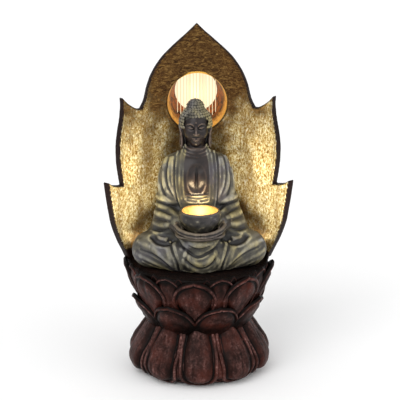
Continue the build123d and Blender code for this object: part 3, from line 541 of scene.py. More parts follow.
def petal_row(name, material, profile, count, phase, width, thick, border, bulge, tip=0.5, base=0.4, foot=0.7,
              crease=0.0, point=0.0, curl=0.0, streaks=0.0, seed=0, lift=0.0, bare=0.0):
    """A ring of petals laid on a profile of (radius, height) points that runs from their base to their tip.

    foot is a petal's share of its width at the base, base how soon it is full, and tip how round its end is. border
    is where the gutter inside the rim runs, bulge the height of the belly, and bare the share without a rim.
    """
    line = spline(profile, 120)
    run = np.concatenate([[0], np.cumsum(np.linalg.norm(np.diff(line, axis=0), axis=1))])
    length = run[-1]
    outward = 1 if line[-1, 1] > line[0, 1] else -1
    nu, nv = PETAL_GRID
    u, v = np.meshgrid(np.linspace(-1, 1, nu), np.linspace(0, 1, nv), indexing="ij")
    u = np.sin(u * math.pi / 2)
    v = 0.5 - 0.5 * np.cos(v * math.pi)
    along = np.linspace(0, 1, 60)
    half = width / 2 * (foot + (1 - foot) * np.sin(np.clip(along / base, 0, 1) * math.pi / 2))
    half = half * np.sqrt(np.clip(1 - np.clip((along - (1 - tip)) / tip, 0, 1) ** 2.3, 0, 1))
    tail = np.array([[half[0], -40.0]])
    right = np.stack([half, length * along], axis=1)
    edge = np.concatenate([tail, right, right[::-1] * [-1, 1], tail * [-1, 1]])
    w = np.interp(v, along, half)
    a, b = u * np.maximum(w, 0.05), v * length
    e = np.maximum(-outline_distance(a, b, edge), 0)
    edged = smoothstep(bare - 0.35, bare, v) if bare else 1.0
    rim = np.exp(-(((e - 0.48 * border) / (0.30 * border)) ** 2)) * 1.2 * edged
    gutter = -np.exp(-(((e - border) / 1.25) ** 2)) * 1.15 * edged
    inner = smoothstep(border, border + 8, e)
    split = -crease * np.exp(-((a / 2.2) ** 2)) * smoothstep(0.35, 0.85, v) * inner**0.3
    heart = -1.5 * crease * np.exp(-((a / 4.0) ** 2)) * np.exp(-(((e - border - 2.2) / 3.0) ** 2)) * (v > 0.6)
    rounding = np.sqrt(1 - (1 - np.clip(e / (thick * 0.8), 0, 1)) ** 2)
    nib = point * np.exp(-np.abs(a) / 2.6) * smoothstep(0.8, 1.0, v)
    back = lift + curl * smoothstep(0.72, 1.0, v) ** 1.6
    r, z = np.interp(b, run, line[:, 0]), np.interp(b, run, line[:, 1]) + outward * nib
    tr, tz = np.gradient(line[:, 0], run), np.gradient(line[:, 1], run)
    nr, nz = outward * np.interp(b, run, tz), -outward * np.interp(b, run, tr)

    size = nu * nv
    shell = [(i * nv + j, (i + 1) * nv + j, (i + 1) * nv + j + 1, i * nv + j + 1)
             for i in range(nu - 1) for j in range(nv - 1)]
    shell += [tuple(size + k for k in face[::-1]) for face in shell]
    loop = [i * nv for i in range(nu)] + [(nu - 1) * nv + j for j in range(1, nv)]
    loop += [i * nv + nv - 1 for i in range(nu - 2, -1, -1)] + list(range(nv - 2, 0, -1))
    shell += [(n, m, size + m, size + n) for m, n in zip(loop, loop[1:] + loop[:1])]

    points, relief = [], []
    rng = np.random.default_rng(seed)
    for n in range(count):
        wob = waves(a, b, 40.0 * n, 16, seed + 3) * 0.5 + waves(a, b, 40.0 * n, 6, seed + 4) * 0.16
        fine = streaks * inner * np.sin(a * 1.35 + 1.2 * np.sin(b * 0.11 + n) + 2.1 * n)
        face = back + (thick + rim + gutter + bulge * inner**0.8 + fine + split + heart + wob) * rounding
        angle = math.radians(phase + 360 * n / count + rng.uniform(-0.7, 0.7)) + a / np.maximum(r, 1)
        for offset in (face, back):
            rr, zz = r + nr * offset, z + nz * offset
            points.append(np.stack([rr * np.cos(angle), rr * np.sin(angle), zz], axis=2).reshape(-1, 3))
        # relief drives the paint. High values get the lighter rub and painted sheen. Low ones get painted shade, near
        # black, in the gutter, along the outer edge, on the part without a rim and on the back.
        raised = 0.38 + 0.66 * rim + gutter + 0.42 * inner + 0.35 * fine + 0.5 * split + 0.2 * wob
        relief += [(raised - 0.9 * smoothstep(1.7, 0.2, e) - 0.7 * (1 - edged)).reshape(-1), np.full(size, -0.3)]
    faces = np.vstack([np.array(shell) + 2 * size * n for n in range(count)])
    add_mesh(name, np.vstack(points), faces, material, values={"relief": np.concatenate(relief)}, slot="lotus_resin")


def lotus(paint, dark):
    """Pedestal and basin: overlapping petals on plain cores."""
    fluted = lambda a, z: 0.5 * np.sin(60 * a) * np.exp(-(((z - 60) / 5) ** 2))
    # The cores show only in the gaps between petals. A relief of -0.1 paints them near black, as painted shade.
    flat = lambda profile: {"relief": np.full(RING_STEPS * len(profile), -0.1)}
    stem = [(62, 2.6), (66, 2.6), (70, 6), (74.5, 12), (76, 18), (74.5, 25), (71, 33), (66, 41), (60, 49), (54.5, 56),
            (53, 60), (48, 60), (46, 54), (55, 46), (64, 32), (68, 16), (62, 8)]
    core = revolve("pedestal_core", stem, paint, wobble=fluted, slot="lotus_resin", values=flat(stem))
    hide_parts("pedestal_shell")
    basin = [(48, 60), (53, 60), (55, 64), (58.5, 71), (64, 84), (69, 96), (74.5, 108), (78, 118), (80, 126),
             (80, 130), (78.5, 131), (77, 130.5), (76, 128), (76, 122), (71, 122), (67.5, 105), (58, 78), (50, 68)]
    core = revolve("basin_core", basin, paint, wobble=fluted, slot="lotus_resin", values=flat(basin))
    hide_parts("lotus_basin")

    front, count = -90 + PEDESTAL_TURN, PEDESTAL_PETALS
    half = 180 / count
    long_petal = [(52.5, 64), (55, 57), (60, 49), (66, 40), (72, 31), (75.8, 22), (74.2, 14), (68, 7), (62.5, 3.2)]
    petal_row("pedestal_petals_small", paint, long_petal[:-1] + [(67, 4)], count, front + half, 32, 2.4, 4.4, 1.2,
              tip=0.4, base=0.5, seed=21, lift=-0.6, streaks=0.12)
    petal_row("pedestal_petals", paint, long_petal, count, front, 46.5, 2.8, 6.6, 3.6, tip=0.34, base=0.6, foot=0.72,
              seed=11, lift=1.0, streaks=0.16)

    front, count = -90 + BASIN_TURN, BASIN_PETALS
    half = 180 / count
    inner = [(64, 84), (70.5, 98), (75.5, 112), (79, 124), (82, 131.5)]
    petal_row("basin_petals_inner", paint, inner, count, front + half, 40, 2.4, 4.6, 2.0, tip=0.55, base=0.5, foot=0.6,
              seed=31, lift=-2.0, crease=0.5, point=1.0)
    petal_row("basin_petals_inner_small", paint, inner, 2 * count, front + half / 2, 17, 2.0, 3.0, 1.2, tip=0.6,
              seed=35, lift=-2.6, point=1.0)
    upper = [(57, 70), (63.5, 83), (70, 97), (76.5, 111), (81, 122), (84.5, 130.5)]
    petal_row("basin_petals_upper", paint, upper, count, front, 56, 2.8, 6.2, 2.8, tip=0.56, base=0.72, foot=0.3,
              seed=41, crease=0.9, point=2.0, curl=1.0, lift=-0.6, streaks=0.06)
    lower = [(52, 58.2), (55, 63.5), (60.5, 72), (68, 84), (76, 97.5)]
    petal_row("basin_petals_lower", paint, lower, count, front + half, 54, 3.0, 5.0, 2.2, tip=0.72, base=0.5, foot=0.9,
              seed=51, crease=0.3, point=1.2, curl=1.2, lift=1.0, streaks=0.06, bare=0.62)
    rock_bed(dark)


def rock_bed(paint):
    """Rough, dark ground in the basin's mouth that the figure sits on."""
    rings, count = np.linspace(30, 79.2, 42), 240
    r, a = np.meshgrid(rings, np.linspace(0, 2 * math.pi, count, endpoint=False), indexing="ij")
    x, y = r * np.cos(a), r * np.sin(a)
    z = 129.3 + 0.9 * waves(x, y, 0, 11, 91) + 0.45 * waves(x, y, 0, 4.5, 92) + 1.2 * smoothstep(72, 78, r)
    z = np.where(r > 78.8, SEAT_Z - 0.5, z)
    points = np.stack([x, y, z], axis=2).reshape(-1, 3)
    add_mesh("rock_bed", points, ring_faces(len(rings), count), paint, slot="dark_resin")


# ---- back plate
HALF_LEAF = ((0, 400.5), (8.9, 391.5), (24.2, 377.5), (37.4, 364.5), (45.1, 354.2), (51.2, 343), (55.8, 329.5),
             (59.2, 314.5), (63.4, 305), (67.5, 305.6), (73.5, 309.5), (79.5, 315), (84.8, 322), (84.2, 311),
             (85.2, 296.5), (87.7, 280), (89, 263.5), (88.4, 245), (86.1, 226), (85, 218.5), (90.5, 219.6),
             (96.8, 222.2), (101.7, 227), (99.8, 208.5), (97.3, 190), (94.8, 174), (89.1, 154), (84, 141), (79, 128))
LEAF_CORNERS = (0, 8, 12, 19, 22, 28)  # the points where the curve breaks


def back_plate(paint):
    """The cupped leaf: a slab laid out in arc length and height, thinner towards the top, and bent round its axis."""
    pieces = []
    for start, end in zip(LEAF_CORNERS, LEAF_CORNERS[1:]):
        part = HALF_LEAF[start : end + 1]
        pieces.append(spline(part, 6 * len(part)))
    right = np.vstack(pieces)
    right[:, 0] = PLATE_R * np.arcsin(right[:, 0] / PLATE_R)
    leaf = np.vstack([right, right[::-1] * [-1, 1]])
    step = 1.0
    low = np.array([-118.0, 126.0, -2.5])
    s = low[0] + step * np.arange(238)
    z = low[1] + step * np.arange(277)
    n = low[2] + step * np.arange(18)
    ss, zz = np.meshgrid(s, z, indexing="ij")
    edge = outline_distance(ss, zz, leaf) + 0.12 * waves(ss, zz, 0, 14, 61)
    x = PLATE_R * np.sin(ss / PLATE_R)
    hole = WINDOW_R - np.hypot(x, zz - WINDOW_Z)
    flat = np.maximum(edge, hole)
    thick = np.interp(zz, [128, 230, 320, 400], [10, 9.6, 7.6, 5.2])
    dents = 0.10 * waves(ss, zz, 3, 6, 62) + 0.16 * waves(ss, zz, 5, 17, 63)
    raised = 0.7 * np.exp(-((flat + 1.6) / 1.3) ** 2)
    face = dents * smoothstep(0, -6, flat) - raised
    nn = n[None, None, :]
    slab = np.maximum(face[:, :, None] - nn, nn - thick[:, :, None])
    flat3 = np.broadcast_to(flat[:, :, None], slab.shape)
    round_by = 1.6
    h = np.maximum(round_by - np.abs(slab - flat3), 0) / round_by
    field = np.maximum(slab, flat3) + h * h * round_by / 4
    field = np.maximum(field, (SEAT_Z - zz)[:, :, None])
    points, quads = surface_nets(field.astype(np.float32), low, step)
    i = np.clip(((points[:, 0] - s[0]) / step).round().astype(int), 0, len(s) - 1)
    k = np.clip(((points[:, 1] - z[0]) / step).round().astype(int), 0, len(z) - 1)
    ps, pz, pn = points.T
    front = smoothstep(1.5, 0.5, pn) * smoothstep(-0.4, -1.5, flat[i, k])
    low_edge = 148 + 4.5 * np.sin(ps * 0.045 + 0.6) + 2.5 * waves(ps, pz, 0, 16, 64) - 0.0009 * ps**2
    gold = front * smoothstep(-1.2, 1.2, pz - low_edge)
    # shade is painted shade: the leaf is browner in the middle behind the figure and towards the top. It also darkens
    # the upper spikes and a band beside the figure's lower sides.
    middle = np.exp(-((ps / 58) ** 2)) * smoothstep(170, 262, pz)
    top = smoothstep(252, 376, pz) * 0.95
    spikes = smoothstep(270, 320, pz) * smoothstep(54, 82, np.abs(ps)) * 0.22
    slope = np.abs(ps) + 0.55 * (pz - 176)
    beside = np.exp(-(((slope - 60) / 20) ** 2)) * smoothstep(214, 176, pz) * 0.8
    shade = 0.06 + 0.85 * middle + top + spikes + beside + 0.3 * waves(ps, pz, 0, 26, 65)
    angle, radius = ps / PLATE_R, PLATE_R + pn
    where = np.stack([radius * np.sin(angle), PLATE_AXIS_Y + radius * np.cos(angle), pz], axis=1)
    add_mesh("leaf_back_plate", where, quads[:, ::-1], paint, slot="gold_resin", replaces=("mandorla",),
             values={"gold": gold, "shade": shade})


# ---- figure
def casting(name, points, faces, paint, relief, broad_shade, skin, **extra):
    """A bronze piece with the three values its paint reads: a number stands for the whole piece."""
    values = {"relief": relief, "broad_shade": broad_shade, "skin": skin}
    values = {key: np.broadcast_to(value, len(points)) for key, value in values.items()}
    add_mesh(name, points, faces, paint, slot="bronze_resin", values=values, **extra)


def leaned(points):
    """Moves the torso and head a little to the left, as the casting leans."""
    points = np.array(points)
    points[:, 0] -= LEAN * smoothstep(172, 228, points[:, 2])
    return points


TRUNK = np.array((  # height, half width, half depth, Y of the middle
    (122, 52, 30, -2), (140, 52, 31, -2), (165, 46, 28, -2), (200, 37, 21, -1), (226, 35.5, 20, -1),
    (240, 33.5, 18.5, 0), (250, 29.5, 16.5, 0), (257, 24, 14.5, -0.5), (262, 16.5, 13, -1), (266, 12, 11.5, -1))).T


def robe_base(clay):
    """The body's main masses, before any fold."""
    heights = TRUNK[0]

    def trunk(x, y, z):
        rx, ry, middle = (np.interp(z, heights, row) for row in TRUNK[1:])
        wall = (np.sqrt((x / rx) ** 2 + ((y - middle) / ry) ** 2) - 1) * np.minimum(rx, ry)
        return np.maximum(wall, np.maximum(heights[0] - z, z - heights[-1]))

    clay.put(trunk, (-52, -60, heights[0]), (52, 40, heights[-1]), 3, margin=6)
    clay.ellipsoid((0, -8, 232), (25, 15.5, 20), 6)
    for _ in clay.sides():
        clay.stick((26.5, 1, 243), (33, -3, 203), 11.8, 12, 7)
        clay.stick((33, -3, 204), (36.5, -9, 186), 12.2, 13, 5)
        clay.stick((36.5, -10, 187), (22, -38, 183), 12.5, 8.5, 5)
        clay.ellipsoid((37, -12, 170), (19, 17, 20), 7)
        clay.ellipsoid((24, -22, 176), (19, 15, 15), 7)
        clay.stick((28, 0, 150), (55, -18, 150), 20, 19.5, 8)
        clay.stick((57, -21, 149), (24, -36, 147), 19, 18, 6)
        clay.ellipsoid((40, -26, 158), (25, 17, 12), 6)
    clay.ellipsoid((0, -34, 146), (31, 25.5, 20), 7)
    clay.ellipsoid((0, -30, 160), (22, 18, 12), 6)
    clay.ellipsoid((0, -42, 165), (21, 18.5, 8.5), 5)


# Folds: radius, depth and blend, then (x, z) points.
SOFT, FIRM, LINE = (2.6, 1.65, 3.6), (1.9, 1.0, 2.4), (0.8, 0.15, 1.5)
GROOVE = 0.4  # a fold less deep than this is cut
MIRRORED_FOLDS = (
    # Shoulder and upper sleeve.
    (SOFT, (33, 252), (36.5, 238), (34.6, 223), (29, 212)), (SOFT, (28.5, 252), (31, 236), (30.2, 222), (25, 210)),
    (SOFT, (40.5, 239), (41.5, 224), (39, 211), (29, 203.5)), (FIRM, (25.5, 254), (26.6, 236), (25.5, 219)),
    (LINE, (31, 252), (33.8, 236), (32.2, 222), (27, 210.5)), (LINE, (38.2, 243), (39.4, 228), (37, 215), (30, 206)),
    # The crease at the elbow, with a roll above and below it.
    (SOFT, (46, 208.5), (37, 206.6), (25, 202.5)), ((0.8, 0.3, 1.8), (46.6, 204), (37, 202.2), (25, 198.6)),
    (SOFT, (47, 200.5), (36, 198), (24, 193)),
    # Forearm folds that run together at the wrist.
    (SOFT, (48.6, 192), (40, 191), (32, 190.5)), ((0.8, 0.35, 1.8), (49, 196.4), (40, 194.6), (31, 192.4)),
    (LINE, (50.2, 186.5), (41, 185.8), (33, 187)), (SOFT, (51, 180), (42, 180), (34, 183)),
    (LINE, (52, 174.5), (43, 174.5), (34, 179)), (FIRM, (54, 171.5), (44, 170.5), (34, 174)),
    # Sides of the panel that hangs between the legs.
    ((1.5, -0.2, 1.6), (35, 171), (31.4, 158), (26, 145), (23.6, 131)), (FIRM, (30.6, 168), (27, 154), (20.8, 138)),
    (SOFT, (38, 164), (35.4, 152), (31, 139.5)),
    # Long folds over the thigh and the shin.
    (SOFT, (70.7, 161), (55, 157), (44, 150), (34, 141)), (SOFT, (72.4, 150), (58, 144.6), (44, 138.5), (31, 132)),
    (LINE, (67, 155.4), (53, 151), (42, 144.6), (33, 137)), (FIRM, (64, 141), (52, 136.6), (41, 132.5)),
)
PANEL_FOLDS = (
    (FIRM, (-18, 170.4), (-3, 166.5), (8, 168.4)), (FIRM, (-6, 169.4), (6, 166), (19, 170.4)),
    ((2.6, 1.3, 2.8), (-23.5, 169), (-10.7, 159.8), (-1.5, 156.4), (9, 160.4), (21, 168.5)),
    ((1.1, 0.05, 1.6), (-22, 163), (-11, 154.6), (-2, 151.4), (9, 155.6), (19, 163)),
    ((2.9, 1.3, 3), (-21.8, 158), (-9.7, 147.9), (0.3, 143.4), (13.4, 149.9), (23, 163)),
    ((1.1, 0.05, 1.6), (-19.5, 150), (-9, 141), (2.2, 137.4), (13, 143.4), (20.5, 155)),
    ((2.6, 1.3, 2.8), (-19, 144), (-9, 137), (3.8, 132.6), (14, 137.4), (21, 147)),
    ((2.2, 1.1, 2.4), (-22, 138), (-17, 134), (-8, 132.6)), ((2, 1.1, 2.4), (21, 139), (17, 134.6), (9, 132.4)),
    (LINE, (-13, 164.6), (-2, 161.2), (10, 164.4)), (FIRM, (15, 160), (19, 149), (21, 140)),
    (FIRM, (-16, 157), (-19.5, 148), (-20, 139)),
)


def robe_folds(clay):
    """Drapery laid on the front."""
    for (radius, depth, blend), *points in PANEL_FOLDS:
        clay.fold(points, radius, depth, blend, cut=depth < GROOVE, taper=0.5, count=18)
    for (radius, depth, blend), *points in MIRRORED_FOLDS:
        for _ in clay.sides():
            dx, dz = RNG.uniform(-0.7, 0.7, 2)
            clay.fold([(x + dx, z + dz) for x, z in points], radius, depth, blend, cut=depth < GROOVE)


def chest(clay):
    """Open neckline: a bare chest set back between two flat lapels, and a tied undercloth."""
    clay.ellipsoid((0, -33, 234), (13.6, 16.5, 30), 1.6, cut=True)
    clay.ellipsoid((0, -9, 232), (17, 11.5, 24), 2)
    inner = [(11.5, 262), (14, 250), (14.9, 236), (14.9, 220), (13.8, 209), (9, 202.5), (0, 200.5)]
    outer = [(20.5, 261), (22.6, 249), (23.4, 234), (22.8, 218), (21, 206), (19, 199)]
    for _ in clay.sides():
        clay.ellipsoid((6.8, -15.8, 233), (7.6, 6.4, 10.5), 2.6)
        clay.fold(inner, 1.35, 0.55, 1, taper=0.85, count=26)
        clay.fold([(x + 3.4, z) for x, z in inner[:5]], 2.2, 1.5, 1.4, taper=0.85, count=20)
        clay.fold(outer, 1.5, 0.6, 1.2, taper=0.8, count=22)
        clay.fold([(x + 1.9, z) for x, z in outer], 0.9, -0.1, 1.2, cut=True, taper=0.8, count=20)
    for z, wide, r in ((212, 12.2, 1.5), (208.4, 12.4, 1.3), (204.6, 11.6, 1.6)):
        clay.fold([(-wide, z + 1.2), (-wide / 2, z), (0, z - 0.5), (wide / 2, z), (wide, z + 1.2)], r, 0.5, 0.9,
                  taper=0.85, count=18)
    for z in (214.3, 210.2, 206.5):
        clay.fold([(-12, z + 0.8), (0, z - 0.6), (12, z + 0.8)], 0.7, 0, 0.9, cut=True, taper=0.8)
    clay.fold([(0, 246), (0, 232), (0, 219)], 0.9, 0.1, 1.8, cut=True, taper=0.5)
    for half, low in ((12.2, 262.6), (14, 259.4), (15.8, 256)):
        clay.fold([(-half, low + 6.5), (-half * 0.8, low + 2.6), (0, low), (half * 0.8, low + 2.6), (half, low + 6.5)],
                  1.25, 0.2, 0.7, taper=0.9, count=24)
    clay.ellipsoid((1.5, -27.5, 209.6), (3, 2.2, 2.4), 0.8)
    for x, z in ((-3, 199), (4.5, 198.5)):
        clay.fold([(1.5, 208), (0.5 + x / 2, 203.5), (x, z)], 1.3, 0.6, 0.9)


def feet(clay):
    """Soles turned up on the thighs, their toes towards the panel's sides."""
    for _ in clay.sides():
        clay.fold([(31, 166), (38, 163.4), (47, 164.4), (53, 168)], 3.8, 0.5, 3, cut=True, taper=0.8)
        clay.cord([(53, -22, 167.5), (46, -29, 165), (39, -34, 163.4)], [3, 3.6, 3.4], 1.4)
        for i in range(5):
            clay.ellipsoid((33.4 + 2.3 * i, -38.4 + 1.2 * i, 161.6 + 1.2 * abs(i - 1.5)), (1.5, 2.6, 1.9), 0.5)


def bowl_hollow(clay, gap, low, high, blend):
    """Leaves room for the alms bowl, and a gap round it, between two heights."""
    heights, radii = zip((BOWL_BOTTOM, 11.5), (181, 15), (185, 19), (190, 22), (195, 23.6), (199, 24), (BOWL_TOP, 23.4))

    def shape(x, y, z):
        wall = np.hypot(x, y - BOWL_Y) - (np.interp(z, heights, radii) + gap)
        return np.maximum(wall * 0.86, np.maximum(BOWL_BOTTOM - gap - z, z - BOWL_TOP - gap - 30))

    clay.put(shape, (-24, BOWL_Y - 24, low), (24, BOWL_Y + 24, high), blend, cut=True)


def figure_body(paint):
    """The robe, with the chest and feet."""
    clay = Clay((-80, -66, 124), (80, 34, 270), 0.9)
    robe_base(clay)
    robe_folds(clay)
    chest(clay)
    feet(clay)
    bowl_hollow(clay, 0.3, 176, 215, 1.2)
    clay.d = np.maximum(clay.d, SEAT_Z + 0.2 - clay.axes[2][None, None, :].astype(np.float32))
    points, quads = clay.mesh()
    relief = clay.relief(points, 1.6)
    px, py, pz = points.T
    # Painted shadow on the fronts of the lower sleeves beside the hands, taken off the broad shade value.
    sleeve = smoothstep(168, 178, pz) * smoothstep(212, 202, pz) * smoothstep(24, 30, np.abs(px)) * (py < 0)
    broad_shade = clay.relief(points, 5) - 0.6 * sleeve
    opening = np.interp(pz, [198, 203, 208, 236, 250, 262, 270], [2, 9, 13.2, 14.6, 13.6, 11, 11])
    skin = smoothstep(1.0, -0.6, np.abs(px) - opening) * (py < -6) * smoothstep(211.5, 213.0, pz)
    sole = smoothstep(1.15, 0.85, np.hypot((np.abs(px) - 42) / 12, (pz - 164.5) / 5.0)) * (py < -20) * 0.35
    casting("robe", leaned(relaxed(points, quads, 3)), quads, paint, relief, broad_shade, np.maximum(skin, sole),
            replaces=("buddha_figure",))


def hands(paint):
    """Cupped hands under the bowl: two tiers of fingers that meet in the middle, and thumbs at the sides."""
    clay = Clay((-38, -78, 166), (38, -14, 202), 0.5)
    clay.ellipsoid((0, BOWL_Y, 174), (23, 21, 5), 3)
    for _ in clay.sides():
        clay.stick((31, -30, 183), (23, -46, 178.5), 7, 4.6, 4)
        clay.ellipsoid((17, -50, 175.6), (11, 13, 4.6), 4)
        for z, across, deep, r in ((181.6, 27.8, 25.2, 1.9), (178.1, 27.2, 24.8, 2)):
            finger = []
            for i in range(10):
                a = math.radians(-90 + 2.2 + 8.6 * i)
                wave = 0.3 * math.sin(2.2 * i) - 0.5 * (i < 1)
                x, y = (across + wave) * math.cos(a), BOWL_Y + (deep + wave) * math.sin(a)
                finger.append((x, y, z + 5.0 * (i / 9) ** 1.6))
            clay.cord(finger, [r * k for k in (0.8, 0.98, 0.9, 1, 0.96, 1.05, 1, 1.05, 1.1, 1.15)], 0.6)
        clay.cord([(27, -34, 187), (25, -46, 187), (21.5, -55, 184.5)], [2.8, 2.3, 1.7], 1.4)
    bowl_hollow(clay, 0.25, 170, 205, 0.8)
    points, quads = clay.mesh()
    relief = clay.relief(points, 1.2)
    # Painted shade on the hands: their broad shade value is their relief lowered, so they are darker overall and in the
    # hollows.
    casting("hands", relaxed(points, quads, 2), quads, paint, relief, 0.6 * relief - 0.3, 0.75,
            replaces=("figure_hands",))


def head(paint):
    """A calm, symmetric face on the usual thirds, long ears and a ringed neck."""
    clay = Clay((-24, -26, 246), (24, 24, 326), 0.45)
    crown, chin = 311.0, 268.5
    tall = crown - chin
    brow, eye, nose, mouth = (chin + tall * k for k in (0.60, 0.51, 0.325, 0.20))
    clay.ellipsoid((0, 1.5, crown - 19), (15.6, 17.5, 19), 3)
    clay.ellipsoid((0, 5.5, crown - 21), (17.4, 13.5, 18.5), 2)
    clay.ellipsoid((0, -3.2, chin + 17), (12.6, 13.4, 16.5), 5)
    clay.ellipsoid((0, -9.6, chin + 4), (5, 4.2, 4.4), 4)
    for _ in clay.sides():
        clay.ellipsoid((6.6, -9.6, nose + 1), (5.4, 5.4, 6.2), 4)
        clay.ellipsoid((5.9, -16.3, eye + 0.6), (4.3, 3.4, 2.7), 2, cut=True)
        clay.ellipsoid((5.8, -12, eye), (4, 3.5, 2.9), 0.8)
        lid = [(2.3, -14.9, eye - 0.6), (4.2, -15.6, eye - 1.2), (6.2, -15.4, eye - 1.3),
               (8.2, -14.2, eye - 0.9), (9.6, -12.7, eye - 0.1)]
        clay.cord(lid, 0.45, 0.35, cut=True)
        clay.cord([(x, y + 0.15, z + 0.75) for x, y, z in lid], 0.5, 0.5)
        arc = [(1.9, -15.6, brow - 2.4), (3.6, -15.6, brow - 0.1), (6.2, -14.8, brow + 0.9),
               (9, -13, brow + 0.2), (11.2, -10.4, brow - 1.8)]
        clay.cord(arc, [0.7, 0.8, 0.8, 0.7, 0.5], 1.2)
        clay.ellipsoid((2.1, -16.4, nose + 1.3), (1.7, 2.2, 1.5), 1)
        clay.ellipsoid((1.2, -18, nose - 0.15), (0.65, 0.9, 0.6), 0.4, cut=True)
        clay.ellipsoid((1.9, -15.3, mouth + 0.9), (2.9, 1.9, 1), 0.7)
        clay.ellipsoid((1.1, -15.1, mouth - 0.95), (2.4, 1.9, 1.25), 0.9)
        clay.cord([(0, -17.2, mouth + 0.05), (2.2, -16.5, mouth), (4.2, -14.9, mouth + 0.55)], [0.42, 0.36, 0.3], 0.3,
                  cut=True)
        # Ear: a long shell with a hollow and a hanging lobe.
        clay.ellipsoid((12.5, 6.5, 276), (5, 7, 14), 3)
        clay.ellipsoid((16.2, 1.4, 282.5), (2.6, 5.2, 7.4), 1.4)
        clay.ellipsoid((15.9, -0.6, 271.5), (2.5, 3.8, 8.6), 1.6)
        clay.ellipsoid((18.6, 0, 282.5), (1.5, 2.7, 4.6), 0.8, cut=True)
        clay.ellipsoid((17.9, -3.4, 270.5), (1.2, 1.5, 4.2), 0.6, cut=True)
        clay.cord([(17.3, -3.2, 284), (18.2, -0.4, 288.6), (18.2, 4.2, 286), (17.6, 4.2, 278)], 0.9, 0.6)
    clay.cord([(0, -15.2, brow - 1.6), (0, -16.6, eye - 1.5), (0, -18, nose + 3), (0, -18.4, nose + 1.2)],
              [1, 1.1, 1.6, 1.9], 1.4)
    clay.ellipsoid((0, -17.4, nose - 2.6), (0.8, 1, 1.9), 1, cut=True)
    clay.ellipsoid((0, -16.6, brow + 2.6), (0.95, 0.7, 0.95), 0.4)
    clay.stick((0, 0.5, 250), (0, 0.5, 280), 11, 9.6, 3)
    for z, r in ((266.5, 10.4), (262.2, 10.9), (257.6, 11.8)):
        ring = [(r * math.cos(a), 0.2 + r * 0.98 * math.sin(a), z - 1.6 * max(0, -math.sin(a)))
                for a in np.linspace(-math.pi, 0, 15)]
        clay.cord(ring, 0.9, 0.9)
        clay.cord([(x * 1.04, y * 1.04, q - 1.6) for x, y, q in ring], 0.6, 0.6, cut=True)
    points, quads = clay.mesh()
    relief = clay.relief(points, 0.9)
    hair_line = crown - 8.5 - 0.035 * points[:, 0] ** 2
    cap = smoothstep(-0.3, 0.3, points[:, 2] - np.where(points[:, 1] < -4, hair_line, crown - 24))
    casting("head", leaned(relaxed(points, quads, 2)), quads, paint, relief, 0.4 * relief, 1 - cap)
    hair(paint, crown)


